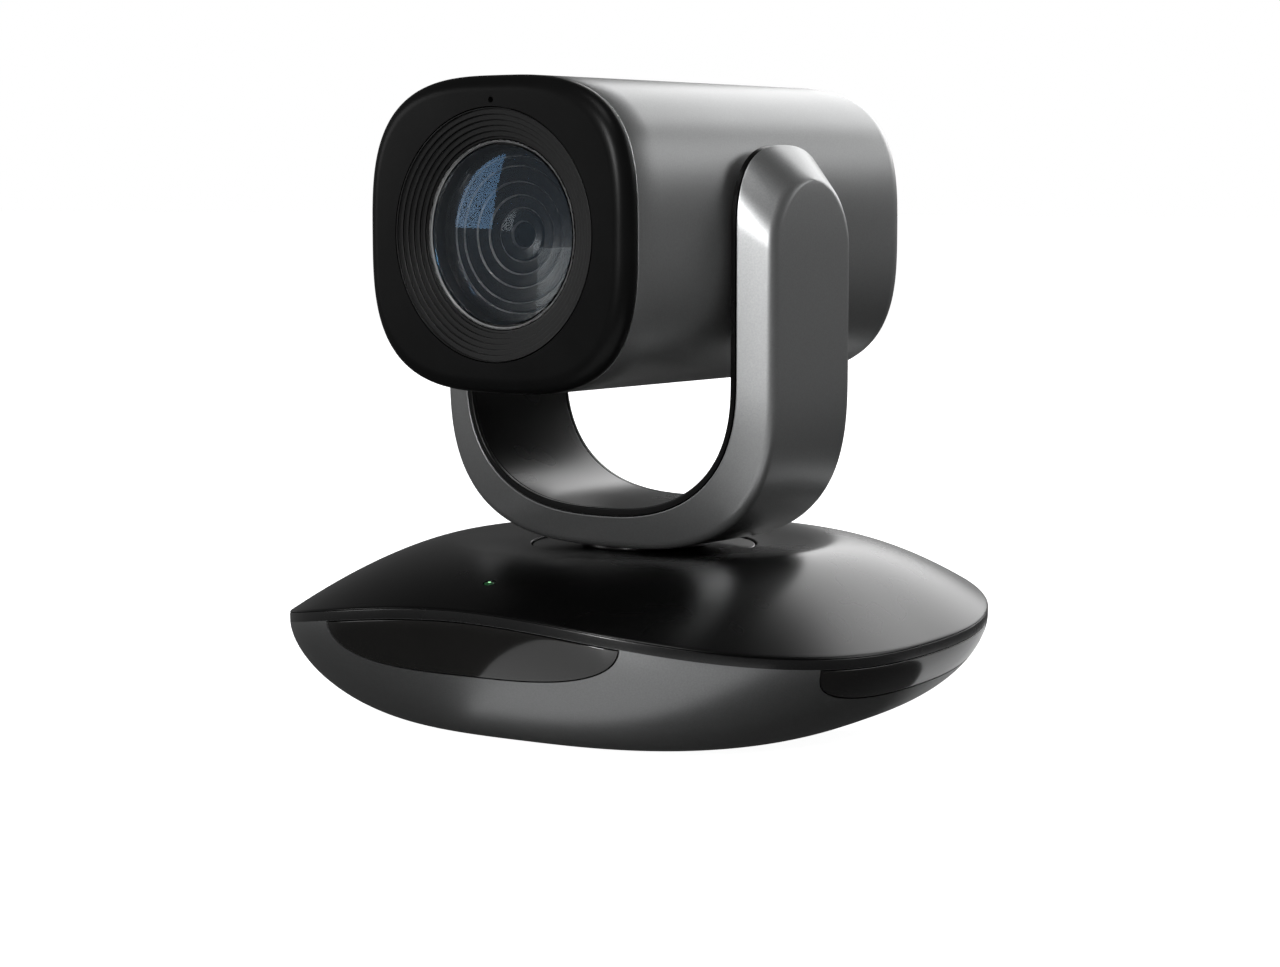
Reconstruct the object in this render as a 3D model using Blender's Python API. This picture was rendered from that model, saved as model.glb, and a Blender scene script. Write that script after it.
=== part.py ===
"""Desktop pan-tilt-zoom camera: base, panning yoke and tilting head.

Metres, +Z up. The base's front faces -Y and the origin is the centre of its footprint.
The yoke turns about the Z axis. The head tilts about a level axis through the yoke's arms.
Left and right are as seen by someone who looks at the camera's front.
"""
import math

import bmesh
import bpy
from mathutils import Matrix, Vector

MM = 0.001
GAP = 0.3 * MM

# Base housing
BASE_HALF_X = 77.7 * MM
BASE_HALF_Y = 79.9 * MM
BASE_EXPONENT = 2.75
BASE_WALL = 2.2 * MM
FOOT_HEIGHT = 1.5 * MM
RIM_HEIGHT = 28.9 * MM
RIM_WAVE = 5.73 * MM
RIM_WAVE_FINE = 0.84 * MM
RIM_BAND = 1.95 * MM
BOWL_FOOT_RATIO = 0.626
BOWL_EXPONENT = 1.7
COVER_EXPONENT = 1.65
COVER_WALL = 2.6 * MM
PLATEAU_RADIUS = 46.2 * MM
PLATEAU_HEIGHT = 43.5 * MM
DISC_RADIUS = 27.2 * MM
DISC_TOP = 42.0 * MM
DISC_THICKNESS = 2.5 * MM

LED_SPOT = (0.0, -66.3 * MM)
LED_RADIUS = 1.2 * MM

# Windows in the base: heading, half angle, depth below the rim band, exponent of the outline
WINDOWS = {
    "front_window": (math.radians(-90), math.radians(27.8), 13.1 * MM, 2.2),
    "right_window": (0.0, math.radians(30.8), 8.3 * MM, 4.0),
    "left_window": (math.radians(180), math.radians(30.8), 8.3 * MM, 4.0),
}
WINDOW_THICKNESS = 1.7 * MM
WINDOW_TOP_MARGIN = 0.7 * MM

# Underside: feet, screws, tripod insert and weight plate
FOOT_RADIUS = 6.0 * MM
SCREW_HEAD_RADIUS = 2.8 * MM
SCREW_RADIUS = 1.5 * MM
INSERT_RADIUS = 5.0 * MM
INSERT_BORE = 2.6 * MM
WELL_MARGIN = 0.4 * MM
WEIGHT_PLATE_SHARE = 0.56
WEIGHT_PLATE_Z = (4.0 * MM, 8.0 * MM)

# Connectors at the back, and the main board
PORT_POCKET = ((-21.2 * MM, 60.0 * MM, 8.8 * MM), (21.2 * MM, 90.0 * MM, 25.4 * MM))
POCKET_WALL = 1.5 * MM
POCKET_BACK = 2.0 * MM
PORT_Z = 17.5 * MM
DC_X = -11.0 * MM
DC_RADIUS = 4.3 * MM
USB_X = 8.0 * MM
USB_HALF_X = 6.2 * MM
USB_HALF_Z = 5.5 * MM
USB_WALL = 0.8 * MM
BOARD = ((-46 * MM, -42 * MM, 13.6 * MM), (14 * MM, 42 * MM, 15.2 * MM))
# Parts on the board: centre, size and height, in millimetres
BOARD_PARTS = (
    ((-34, -12), (16, 16), 2.2),
    ((-8, 6), (12, 12), 1.8),
    ((-36, 20), (8, 10), 3.0),
    ((0, -22), (10, 14), 2.6),
)

# Pan drive
SPINDLE_RADIUS = 9.0 * MM
PAN_PULLEY_RADIUS = 20.0 * MM
PAN_MOTOR_PULLEY_RADIUS = 6.0 * MM
PAN_MOTOR_X = 40.0 * MM
PAN_BELT_Z = 32.5 * MM
PAN_BELT_WIDTH = 5.0 * MM
PAN_MOTOR_RADIUS = 17.5 * MM
CHASSIS_TOP = 27.0 * MM
CHASSIS_DECK = CHASSIS_TOP - 2 * MM
NECK_RADIUS = 15.0 * MM
NECK_TOP = 45.0 * MM
SPINDLE_BORE = 6.0 * MM
MOTOR_SHAFT_RADIUS = 1.5 * MM
CHASSIS_LEGS = [(sx * 18.0 * MM, sy * 36.0 * MM) for sx in (-1, 1) for sy in (-1, 1)]
FEET = [(sx * 32.0 * MM, sy * 18.0 * MM) for sx in (-1, 1) for sy in (-1, 1)]

# Yoke. It stands a few degrees off the base's front at rest.
PAN_AT_REST = math.radians(-5.2)
TILT_AXIS_HEIGHT = 117.9 * MM
YOKE_WALL = 1.8 * MM
# U outlines: half width, height of the bend's centre, drop of the bend, exponent
YOKE_OUTER = (49.2 * MM, 86.0 * MM, 43.3 * MM, 2.9)
YOKE_EDGE = (40.5 * MM, 85.0 * MM, 34.4 * MM, 2.5)
YOKE_INNER = (38.9 * MM, 84.8 * MM, 32.2 * MM, 2.55)
# Arm tips: half depth, height of the arch above the tilt axis at its spring, rise, exponent
OUTER_TIP = (16.1 * MM, -4.5 * MM, 17.1 * MM, 2.0)
EDGE_TIP = (19.0 * MM, -0.1 * MM, 20.8 * MM, 2.6)
FRAME_OUTER = (46.8 * MM, 86.2 * MM, 40.9 * MM, 2.9)
FRAME_INNER = (45.2 * MM, 86.2 * MM, 39.3 * MM, 2.9)
FRAME_TIP = (12.0 * MM, 0.0, 9.0 * MM, 2.0)

# Head, measured from the tilt axis
HEAD_HALF_WIDTH = 38.1 * MM
HEAD_HALF_HEIGHT = 36.0 * MM
HEAD_EXPONENT = 3.1
HEAD_WALL = 2.0 * MM
HEAD_FRONT = -57.6 * MM
HEAD_SEAM = -52.9 * MM
HEAD_REAR = 60.5 * MM
HEAD_REAR_ROUND = 8.5 * MM
BEZEL_ROUND = 3.8 * MM
FUNNEL_RADIUS = 28.8 * MM
FUNNEL_STEPS = 6
LENS_RADIUS = 20.9 * MM
LENS_WINDOW_Y = -54.3 * MM
BARREL_RADIUS = 22.5 * MM
BARREL_BORE = 20.3 * MM
BARREL_REAR = 8.0 * MM
GLASS_RADIUS = 20.4 * MM
FACE_BACK = HEAD_FRONT + 1.8 * MM
GUIDE_ROD_X = (17.6 * MM, -17.6 * MM)
GUIDE_ROD_RADIUS = 0.8 * MM
LENS_MOTOR_OFFSET = 19.6 * MM
MICROPHONE = (0.0, 30.4 * MM)
REAR_SCREWS = [(0.0, 25 * MM), (0.0, -25 * MM)]
REAR_SCREW_RADIUS = 1.2 * MM
REAR_SCREW_HEAD_RADIUS = 2.2 * MM

# Tilt drive, in the plane beside the head's left wall
TRUNNION_RADIUS = 5.0 * MM
TRUNNION_BORE = 3.0 * MM
TRUNNION_FLANGE = 8.0 * MM
TRUNNION_X = (23.8 * MM, 41.6 * MM, 44.9 * MM)
BUSH_RADIUS = 7.3 * MM
BUSH_X = (32.6 * MM, 35.2 * MM)
TILT_MOTOR_RADIUS = 10.0 * MM
TILT_MOTOR_X = (-18.7 * MM, -3.0 * MM)
BRACKET_X = (-20.5 * MM, -19.0 * MM)
TILT_PULLEY_RADIUS = 12.0 * MM
TILT_MOTOR_PULLEY_RADIUS = 5.0 * MM
TILT_MOTOR = (36.0 * MM, -8.0 * MM)
TILT_BELT_X = -27.0 * MM
TILT_BELT_WIDTH = 4.6 * MM
BELT_THICKNESS = 1.5 * MM
FLANGE = 2.4 * MM
FLANGE_REACH = 1.3 * MM

BASE_SEGMENTS = 44
HEAD_SEGMENTS = 36
ROUND_SEGMENTS = 22
SMALL_SEGMENTS = 12
ARCH_STEPS = 6
BEND_STEPS = 20

ALONG_X = Matrix.Rotation(math.pi / 2, 4, "Y")
ALONG_Y = Matrix.Rotation(-math.pi / 2, 4, "X")

FINISHES = {
    "black_gloss": ((0.012, 0.012, 0.014), 0.0, 0.12),
    "grey_satin": ((0.16, 0.165, 0.17), 0.35, 0.38),
    "head_grey": ((0.13, 0.135, 0.14), 0.4, 0.36),
    "dark_plastic": ((0.03, 0.03, 0.032), 0.0, 0.42),
    "smoked": ((0.02, 0.02, 0.022), 0.0, 0.08),
    "clear_glass": ((0.75, 0.8, 0.85), 0.0, 0.02),
    "led_green": ((0.1, 0.8, 0.25), 0.0, 0.3),
    "steel": ((0.55, 0.56, 0.57), 1.0, 0.35),
    "brass": ((0.78, 0.6, 0.28), 1.0, 0.35),
    "aluminium": ((0.7, 0.7, 0.72), 1.0, 0.4),
    "board_green": ((0.03, 0.16, 0.07), 0.0, 0.5),
    "rubber": ((0.02, 0.02, 0.02), 0.0, 0.9),
    "nylon": ((0.75, 0.74, 0.7), 0.0, 0.5),
}


# ---------------------------------------------------------------- mesh tools

def superellipse_radius(angle, half_x, half_y, exponent):
    term = abs(math.cos(angle) / half_x) ** exponent + abs(math.sin(angle) / half_y) ** exponent
    return term ** (-1 / exponent)


def polar_ring(radius, height, count):
    """Points round the Z axis; radius and height are functions of the angle."""
    angles = [2 * math.pi * i / count for i in range(count)]
    return [Vector((radius(a) * math.cos(a), radius(a) * math.sin(a), height(a))) for a in angles]


def circle(radius, height, count, centre=(0.0, 0.0)):
    ring = polar_ring(lambda a: radius, lambda a: height, count)
    return [point + Vector((centre[0], centre[1], 0)) for point in ring]


def loft(rings, closed=False, caps=True):
    """Skin equal rings of points. closed joins the last ring to the first."""
    bm = bmesh.new()
    grid = [[bm.verts.new(point) for point in ring] for ring in rings]
    pairs = list(zip(grid, grid[1:]))
    if closed:
        pairs.append((grid[-1], grid[0]))
    for lower, upper in pairs:
        for i in range(len(lower)):
            j = (i + 1) % len(lower)
            bm.faces.new((lower[i], lower[j], upper[j], upper[i]))
    if caps and not closed:
        bm.faces.new(list(reversed(grid[0])))
        bm.faces.new(grid[-1])
    bmesh.ops.remove_doubles(bm, verts=bm.verts, dist=1e-7)
    bmesh.ops.recalc_face_normals(bm, faces=bm.faces)
    return bm


def turned(profile, closed=False, count=ROUND_SEGMENTS, centre=(0.0, 0.0), turn=None):
    """Turn a profile of (radius, height) about Z. closed makes a tube or a ring."""
    bm = loft([circle(r, h, count, centre) for r, h in profile], closed=closed)
    if turn is not None:
        bm.transform(turn)
    return bm


def rod(radius, low, high, centre=(0.0, 0.0), count=SMALL_SEGMENTS, turn=None):
    return turned([(radius, low), (radius, high)], count=count, centre=centre, turn=turn)


def tube(inner, outer, low, high, centre=(0.0, 0.0), count=ROUND_SEGMENTS, turn=None):
    profile = [(outer, low), (outer, high), (inner, high), (inner, low)]
    return turned(profile, closed=True, count=count, centre=centre, turn=turn)


def block(low, high):
    (x0, y0, z0), (x1, y1, z1) = low, high
    corners = ((x0, y0), (x1, y0), (x1, y1), (x0, y1))
    return loft([[Vector((x, y, z)) for x, y in corners] for z in (z0, z1)])


def merged(parts):
    """Several closed bodies in one mesh, to cut with."""
    whole = bmesh.new()
    for bm in parts:
        mesh = bpy.data.meshes.new("part")
        bm.to_mesh(mesh)
        bm.free()
        whole.from_mesh(mesh)
        bpy.data.meshes.remove(mesh)
    return whole


def finish_material(name):
    found = bpy.data.materials.get(name)
    if found:
        return found
    color, metallic, roughness = FINISHES[name]
    made = bpy.data.materials.new(name)
    made.use_nodes = True
    shader = made.node_tree.nodes["Principled BSDF"]
    shader.inputs["Base Color"].default_value = (*color, 1.0)
    shader.inputs["Metallic"].default_value = metallic
    shader.inputs["Roughness"].default_value = roughness
    made.diffuse_color = (*color, 1.0)
    return made


def add(name, bm, finish, parent=None):
    mesh = bpy.data.meshes.new(name)
    bm.to_mesh(mesh)
    bm.free()
    mesh.shade_smooth()
    mesh.set_sharp_from_angle(angle=math.radians(30))
    mesh.materials.append(finish_material(finish))
    made = bpy.data.objects.new(name, mesh)
    bpy.context.scene.collection.objects.link(made)
    made.parent = parent
    return made


def add_each(name, solids, finish, parent=None):
    """Number the copies of a repeated piece."""
    for number, bm in enumerate(solids, 1):
        add(f"{name}_{number}", bm, finish, parent)


def combine(piece, bm, operation):
    """Apply a Boolean with another mesh, given in the piece's own frame."""
    bmesh.ops.connect_verts_nonplanar(bm, angle_limit=1e-4, faces=bm.faces)
    mesh = bpy.data.meshes.new("tool")
    bm.to_mesh(mesh)
    bm.free()
    body = bmesh.new()
    body.from_mesh(piece.data)
    bmesh.ops.connect_verts_nonplanar(body, angle_limit=1e-4, faces=body.faces)
    body.to_mesh(piece.data)
    body.free()
    tool = bpy.data.objects.new("tool", mesh)
    bpy.context.scene.collection.objects.link(tool)
    tool.parent = piece.parent
    modifier = piece.modifiers.new("combine", "BOOLEAN")
    modifier.operation = operation
    modifier.solver = "EXACT"
    modifier.object = tool
    depsgraph = bpy.context.evaluated_depsgraph_get()
    result = bpy.data.meshes.new_from_object(piece.evaluated_get(depsgraph))
    piece.modifiers.clear()
    piece.data = result
    bpy.data.objects.remove(tool)


def cut(piece, *tools):
    combine(piece, merged(tools), "DIFFERENCE")


def join(piece, *tools):
    for tool in tools:
        combine(piece, tool, "UNION")


# ---------------------------------------------------------------- base shape

def rim_radius(angle):
    return superellipse_radius(angle, BASE_HALF_X, BASE_HALF_Y, BASE_EXPONENT)


def rim_height(angle):
    return RIM_HEIGHT - RIM_WAVE * math.cos(2 * angle) + RIM_WAVE_FINE * math.cos(4 * angle)


def bowl_point(angle, fall, inset=0.0):
    """Radius and height of the bowl's wall, from the rim band (0) to the floor (1)."""
    pull = (1 - fall ** BOWL_EXPONENT) ** (1 / BOWL_EXPONENT)
    radius = (rim_radius(angle) - inset) * (BOWL_FOOT_RATIO + (1 - BOWL_FOOT_RATIO) * pull)
    top = rim_height(angle) - RIM_BAND
    bottom = FOOT_HEIGHT + inset
    return radius, top + (bottom - top) * fall


def bowl_ring(fall, inset=0.0):
    return polar_ring(lambda a: bowl_point(a, fall, inset)[0],
                      lambda a: bowl_point(a, fall, inset)[1], BASE_SEGMENTS)


def rim_ring(inset, rise):
    return polar_ring(lambda a: rim_radius(a) - inset, lambda a: rim_height(a) + rise, BASE_SEGMENTS)


def cover_height(angle, radius):
    outward = max(0.0, (radius - PLATEAU_RADIUS) / (rim_radius(angle) - PLATEAU_RADIUS))
    return PLATEAU_HEIGHT - (PLATEAU_HEIGHT - rim_height(angle) - GAP) * outward ** COVER_EXPONENT


def cover_ring(share, drop=0.0, inset=0.0):
    """A ring on the cover, from the plateau's edge (0) to the rim (1)."""
    def radius(a):
        return PLATEAU_RADIUS + (rim_radius(a) - inset - PLATEAU_RADIUS) * share
    return polar_ring(radius, lambda a: cover_height(a, radius(a)) - drop, BASE_SEGMENTS)


def window_patch(window, margin, outward, inward):
    """A patch of the bowl's wall with a window's outline, as a closed solid."""
    heading, half_angle, depth, exponent = window
    columns, rows = 16, 3
    blunt_end = 0.996
    top = WINDOW_TOP_MARGIN - margin
    rings = []
    for i in range(columns + 1):
        across = blunt_end * math.sin(math.pi / 2 * (2 * i / columns - 1))
        angle = heading + (half_angle + margin / BASE_HALF_X) * across
        reach = (depth + margin) * (1 - abs(across) ** exponent) ** (1 / exponent)
        height_span = rim_height(angle) - RIM_BAND - FOOT_HEIGHT
        column = []
        for j in range(rows + 1):
            fall = (top + (reach - top) * j / rows) / height_span
            column.append(bowl_point(angle, fall))
        outline = [(r + outward, z) for r, z in column]
        outline += [(r - inward, z) for r, z in reversed(column)]
        rings.append([Vector((r * math.cos(angle), r * math.sin(angle), z)) for r, z in outline])
    return loft(rings)


# ---------------------------------------------------------------- base pieces

def grown(box, margin):
    low, high = box
    return tuple(v - margin for v in low), tuple(v + margin for v in high)


def make_bottom_shell():
    outer = [bowl_ring(f) for f in (1.0, 0.97, 0.88, 0.72, 0.52, 0.3, 0.12, 0.0)]
    lip = [rim_ring(0.0, 0.0), rim_ring(BASE_WALL, 0.0)]
    inner = [bowl_ring(f, BASE_WALL) for f in (0.0, 0.35, 0.65, 0.88, 1.0)]
    shell = add("base_bottom_shell", loft(outer + lip + inner), "grey_satin")
    for window in WINDOWS.values():
        cut(shell, window_patch(window, GAP, 3 * MM, 5 * MM))
    cut(shell, block(*grown(PORT_POCKET, GAP)))
    below, above = -1 * MM, 6 * MM
    foot_wells = [rod(FOOT_RADIUS + WELL_MARGIN, below, 2.6 * MM, centre=spot) for spot in FEET]
    screw_well_radius = SCREW_HEAD_RADIUS + WELL_MARGIN
    screw_wells = [rod(screw_well_radius, below, 2.4 * MM, centre=spot) for spot in CHASSIS_LEGS]
    cut(shell, *foot_wells, *screw_wells)
    screw_holes = [rod(SCREW_RADIUS + WELL_MARGIN, below, above, centre=spot) for spot in CHASSIS_LEGS]
    cut(shell, rod(INSERT_RADIUS + GAP, below, above), *screw_holes)


def make_top_cover():
    hole = DISC_RADIUS + 0.4 * MM
    surface = [cover_ring(s) for s in (1.0, 0.86, 0.7, 0.5, 0.3, 0.1)]
    dish = [circle(r, z, BASE_SEGMENTS) for r, z in (
        (PLATEAU_RADIUS, PLATEAU_HEIGHT),
        (PLATEAU_RADIUS - 0.5 * MM, PLATEAU_HEIGHT - 0.35 * MM),
        (hole, DISC_TOP + 0.35 * MM),
        (hole, DISC_TOP - 2.4 * MM),
        (PLATEAU_RADIUS - 2 * MM, PLATEAU_HEIGHT - COVER_WALL - 0.4 * MM))]
    underside = [cover_ring(s, drop=COVER_WALL, inset=4.6 * MM) for s in (0.2, 0.5, 0.8, 1.0)]
    skirt = [rim_ring(4.4 * MM, -2.6 * MM), rim_ring(2.6 * MM, -2.6 * MM), rim_ring(2.6 * MM, GAP)]
    cover = add("base_top_cover", loft(surface + dish + underside + skirt, closed=True), "black_gloss")
    cut(cover, rod(LED_RADIUS + GAP, 30 * MM, 60 * MM, centre=LED_SPOT))


def make_windows():
    for name, window in WINDOWS.items():
        add(name, window_patch(window, 0.0, 0.0, WINDOW_THICKNESS), "smoked")


def make_ir_receivers():
    board_radius, board_half, eye_half = 64.5 * MM, 6 * MM, 2.5 * MM
    for name, (heading, *_) in WINDOWS.items():
        turn = Matrix.Rotation(heading, 4, "Z")
        middle = rim_height(heading) - 9 * MM
        board = block((board_radius, -board_half, middle - 5 * MM),
                      (board_radius + 1.5 * MM, board_half, middle + 5 * MM))
        eye = block((board_radius + 1 * MM, -eye_half, middle - eye_half),
                    (board_radius + 4.5 * MM, eye_half, middle + 3.5 * MM))
        board.transform(turn)
        eye.transform(turn)
        receiver = add(name.replace("window", "ir_receiver"), board, "dark_plastic")
        join(receiver, eye)


def make_base_floor():
    rings = [polar_ring(lambda a: rim_radius(a) * WEIGHT_PLATE_SHARE, lambda a, z=z: z, BASE_SEGMENTS)
             for z in WEIGHT_PLATE_Z]
    plate = add("base_weight_plate", loft(rings), "steel")
    holes = [rod(SCREW_RADIUS + 0.7 * MM, 0, 20 * MM, centre=spot) for spot in CHASSIS_LEGS]
    cut(plate, rod(INSERT_RADIUS + 1.5 * MM, 0, 20 * MM), *holes)
    foot = [(FOOT_RADIUS - 0.4 * MM, 0), (FOOT_RADIUS, 0.5 * MM), (FOOT_RADIUS, 2.3 * MM)]
    add_each("rubber_foot", [turned(foot, count=24, centre=spot) for spot in FEET], "rubber")
    add("tripod_insert", tube(INSERT_BORE, INSERT_RADIUS, 1.8 * MM, 10.5 * MM), "brass")
    screw = [(SCREW_HEAD_RADIUS, 0.6 * MM), (SCREW_HEAD_RADIUS, 2.1 * MM), (SCREW_RADIUS, 2.11 * MM),
             (SCREW_RADIUS, 8.0 * MM)]
    add_each("base_screw", [turned(screw, count=16, centre=spot) for spot in CHASSIS_LEGS], "steel")


def make_ports():
    (x0, y0, z0), (x1, y1, z1) = PORT_POCKET
    plug_face = y0 + POCKET_BACK
    panel = add("rear_connector_panel", block(*PORT_POCKET), "dark_plastic")
    cut(panel, block((x0 + POCKET_WALL, plug_face, z0 + POCKET_WALL),
                     (x1 - POCKET_WALL, y1 + 9 * MM, z1 - POCKET_WALL)))
    housing_falls = (1.0, 0.94, 0.82, 0.66, 0.5, 0.35, 0.2, 0.1, 0.0)
    combine(panel, loft([bowl_ring(f, GAP) for f in housing_falls]), "INTERSECT")
    jack_place = Matrix.Translation((DC_X, 0, PORT_Z)) @ ALONG_Y
    jack_hole = rod(DC_RADIUS + GAP, y0 - 5 * MM, y0 + 8 * MM, turn=jack_place)
    usb_hole = port_box(USB_X, USB_HALF_X + WELL_MARGIN, USB_HALF_Z + WELL_MARGIN, y0 - 5 * MM, y0 + 8 * MM)
    cut(panel, jack_hole, usb_hole)
    make_dc_jack(jack_place, y0, plug_face)
    make_usb_port(y0, plug_face)


def port_box(x, half_x, half_z, y_low, y_high):
    """A block round a connector's own axis."""
    return block((x - half_x, y_low, PORT_Z - half_z), (x + half_x, y_high, PORT_Z + half_z))


def make_dc_jack(place, pocket_back, plug_face):
    bore, pin = 3.1 * MM, 1.05 * MM
    mouth, bottom = plug_face + 0.8 * MM, pocket_back - 6 * MM
    profile = [(DC_RADIUS, pocket_back - 9 * MM), (DC_RADIUS, mouth), (bore, mouth), (bore, bottom),
               (pin, bottom), (pin, plug_face)]
    add("dc_power_jack", turned(profile, count=24, turn=place), "steel")


def make_usb_port(pocket_back, plug_face):
    shell = port_box(USB_X, USB_HALF_X, USB_HALF_Z, pocket_back - 12 * MM, plug_face + 0.6 * MM)
    usb = add("usb_port", shell, "aluminium")
    mouth_half_x, mouth_half_z = USB_HALF_X - USB_WALL, USB_HALF_Z - USB_WALL
    cut(usb, port_box(USB_X, mouth_half_x, mouth_half_z, pocket_back - 9 * MM, plug_face + 4 * MM))
    tongue_half_x, tongue_half_z = 2.8 * MM, 1.6 * MM
    join(usb, port_box(USB_X, tongue_half_x, tongue_half_z, pocket_back - 9.5 * MM, plug_face - 1 * MM))


def make_main_board():
    board = add("main_board", block(*BOARD), "board_green")
    board_top = BOARD[1][2]
    notches = [rod(4 * MM, 10 * MM, 20 * MM, centre=spot) for spot in CHASSIS_LEGS if spot[0] < 0]
    cut(board, *notches)
    for (x, y), (width, depth), height in BOARD_PARTS:
        low = ((x - width / 2) * MM, (y - depth / 2) * MM, board_top - 0.2 * MM)
        high = ((x + width / 2) * MM, (y + depth / 2) * MM, board_top + height * MM)
        join(board, block(low, high))


def make_pan_drive(yoke):
    deck = CHASSIS_DECK
    centre = (PAN_MOTOR_X, 0.0)
    bearing_radius, bearing_flange = 14.0 * MM, 16.0 * MM
    plate = block((-26 * MM, -42 * MM, deck), (60 * MM, 42 * MM, CHASSIS_TOP))
    chassis = add("base_chassis", plate, "aluminium")
    plate_top = WEIGHT_PLATE_Z[1]
    join(chassis, *[rod(3.4 * MM, plate_top + GAP, deck + 1 * MM, centre=spot) for spot in CHASSIS_LEGS])
    bearing_seat = rod(bearing_radius + GAP, 20 * MM, 40 * MM, count=ROUND_SEGMENTS)
    cut(chassis, bearing_seat, rod(4 * MM, 20 * MM, 40 * MM, centre=centre))
    bore = SPINDLE_RADIUS + GAP
    flange_top = CHASSIS_TOP + 1.3 * MM
    bearing = [(bearing_radius, deck - 2 * MM), (bearing_radius, CHASSIS_TOP),
               (bearing_flange, CHASSIS_TOP + GAP), (bearing_flange, flange_top),
               (bore, flange_top), (bore, deck - 2 * MM)]
    add("pan_bearing", turned(bearing, closed=True), "steel")
    motor = turned([(PAN_MOTOR_RADIUS, 9.2 * MM), (PAN_MOTOR_RADIUS, deck - GAP)], centre=centre)
    add("pan_motor", motor, "steel")
    wheel = pulley_profile(PAN_MOTOR_PULLEY_RADIUS, PAN_BELT_Z, PAN_BELT_WIDTH, 0.0)
    shaft = [(MOTOR_SHAFT_RADIUS, deck), (MOTOR_SHAFT_RADIUS, wheel[0][1])]
    small = add("pan_motor_pulley", turned(shaft + wheel, count=24), "brass")
    small.location = (*centre, 0)
    band = belt((0.0, 0.0), PAN_PULLEY_RADIUS, centre, PAN_MOTOR_PULLEY_RADIUS, PAN_BELT_Z, PAN_BELT_WIDTH)
    add("pan_belt", band, "rubber")
    large = pulley_profile(PAN_PULLEY_RADIUS, PAN_BELT_Z, PAN_BELT_WIDTH, SPINDLE_RADIUS + GAP)
    add("pan_driven_pulley", turned(large, closed=True), "nylon", yoke)
    make_spindle(yoke)


def make_spindle(yoke):
    foot, shoulder, shoulder_radius = CHASSIS_DECK - 4 * MM, DISC_TOP - 4.8 * MM, 14 * MM
    disc_under = DISC_TOP - DISC_THICKNESS
    spindle = [(SPINDLE_RADIUS, foot), (SPINDLE_RADIUS, shoulder), (shoulder_radius, shoulder),
               (shoulder_radius, disc_under - GAP), (SPINDLE_BORE, disc_under - GAP), (SPINDLE_BORE, foot)]
    add("pan_spindle", turned(spindle, closed=True), "aluminium", yoke)
    disc = [(DISC_RADIUS, disc_under), (DISC_RADIUS, DISC_TOP), (NECK_RADIUS, DISC_TOP),
            (NECK_RADIUS, NECK_TOP), (SPINDLE_BORE, NECK_TOP), (SPINDLE_BORE, disc_under)]
    add("turntable_disc", turned(disc, closed=True, count=56), "black_gloss", yoke)


def pulley_profile(radius, middle, width, bore):
    """A flanged pulley; a bore of zero gives a solid one."""
    groove = width / 2 + GAP
    side = width / 2 + FLANGE_REACH
    edge = radius + FLANGE
    profile = [(edge, middle - side), (edge, middle - groove), (radius, middle - groove),
               (radius, middle + groove), (edge, middle + groove), (edge, middle + side)]
    if bore > 0:
        profile += [(bore, profile[-1][1]), (bore, profile[0][1])]
    return profile


def belt(centre_a, radius_a, centre_b, radius_b, middle, width):
    """A belt round two pulleys, level with the XY plane."""
    spread = math.dist(centre_a, centre_b)
    heading = math.atan2(centre_b[1] - centre_a[1], centre_b[0] - centre_a[0])
    open_angle = math.acos((radius_a - radius_b) / spread)
    steps = 16

    def arc(centre, reach, start, sweep, height):
        angles = [start + sweep * i / steps for i in range(steps + 1)]
        middle_point = Vector((*centre, height))
        return [middle_point + Vector((reach * math.cos(a), reach * math.sin(a), 0)) for a in angles]

    def loop(extra, height):
        first = arc(centre_a, radius_a + extra, heading + open_angle, 2 * (math.pi - open_angle), height)
        second = arc(centre_b, radius_b + extra, heading - open_angle, 2 * open_angle, height)
        return first + second

    low, high = middle - width / 2, middle + width / 2
    inside = 1.2 * GAP
    outside = inside + BELT_THICKNESS
    rings = [loop(inside, low), loop(outside, low), loop(outside, high), loop(inside, high)]
    return loft(rings, closed=True)


# ---------------------------------------------------------------- yoke

def u_stations(bend, tip, inset=0.0):
    """(x, z, half depth) along a U strip, from the right arm's tip to the left's."""
    half_x, centre_z, drop, exponent = bend
    half_y, spring, rise, tip_exponent = tip
    half_x, drop, half_y, rise = half_x - inset, drop - inset, half_y - inset, rise - inset
    arm = []
    for i in range(ARCH_STEPS):
        turn = math.pi / 2 * (1 - i / ARCH_STEPS)
        width = half_y * max(0.0, math.cos(turn)) ** (2 / tip_exponent)
        if i == 0:
            width = 0.0
        arm.append((half_x, TILT_AXIS_HEIGHT + spring + rise * math.sin(turn) ** (2 / tip_exponent), width))
    middle = []
    for i in range(BEND_STEPS + 1):
        turn = math.pi * i / BEND_STEPS
        x = math.copysign(abs(math.cos(turn)) ** (2 / exponent), math.cos(turn)) * half_x
        z = centre_z - abs(math.sin(turn)) ** (2 / exponent) * drop
        middle.append((x, z, half_y))
    spring_line = [(half_x, TILT_AXIS_HEIGHT + spring, half_y)]
    right = arm + spring_line
    left = [(-x, z, w) for x, z, w in reversed(right)]
    return right + middle + left


def u_strip(surfaces):
    """Sweep a section whose corners lie on the given (stations, side) surfaces."""
    rings = []
    for rows in zip(*[stations for stations, _ in surfaces]):
        rings.append([Vector((x, side * w, z)) for (x, z, w), (_, side) in zip(rows, surfaces)])
    return loft(rings, caps=False)


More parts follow.
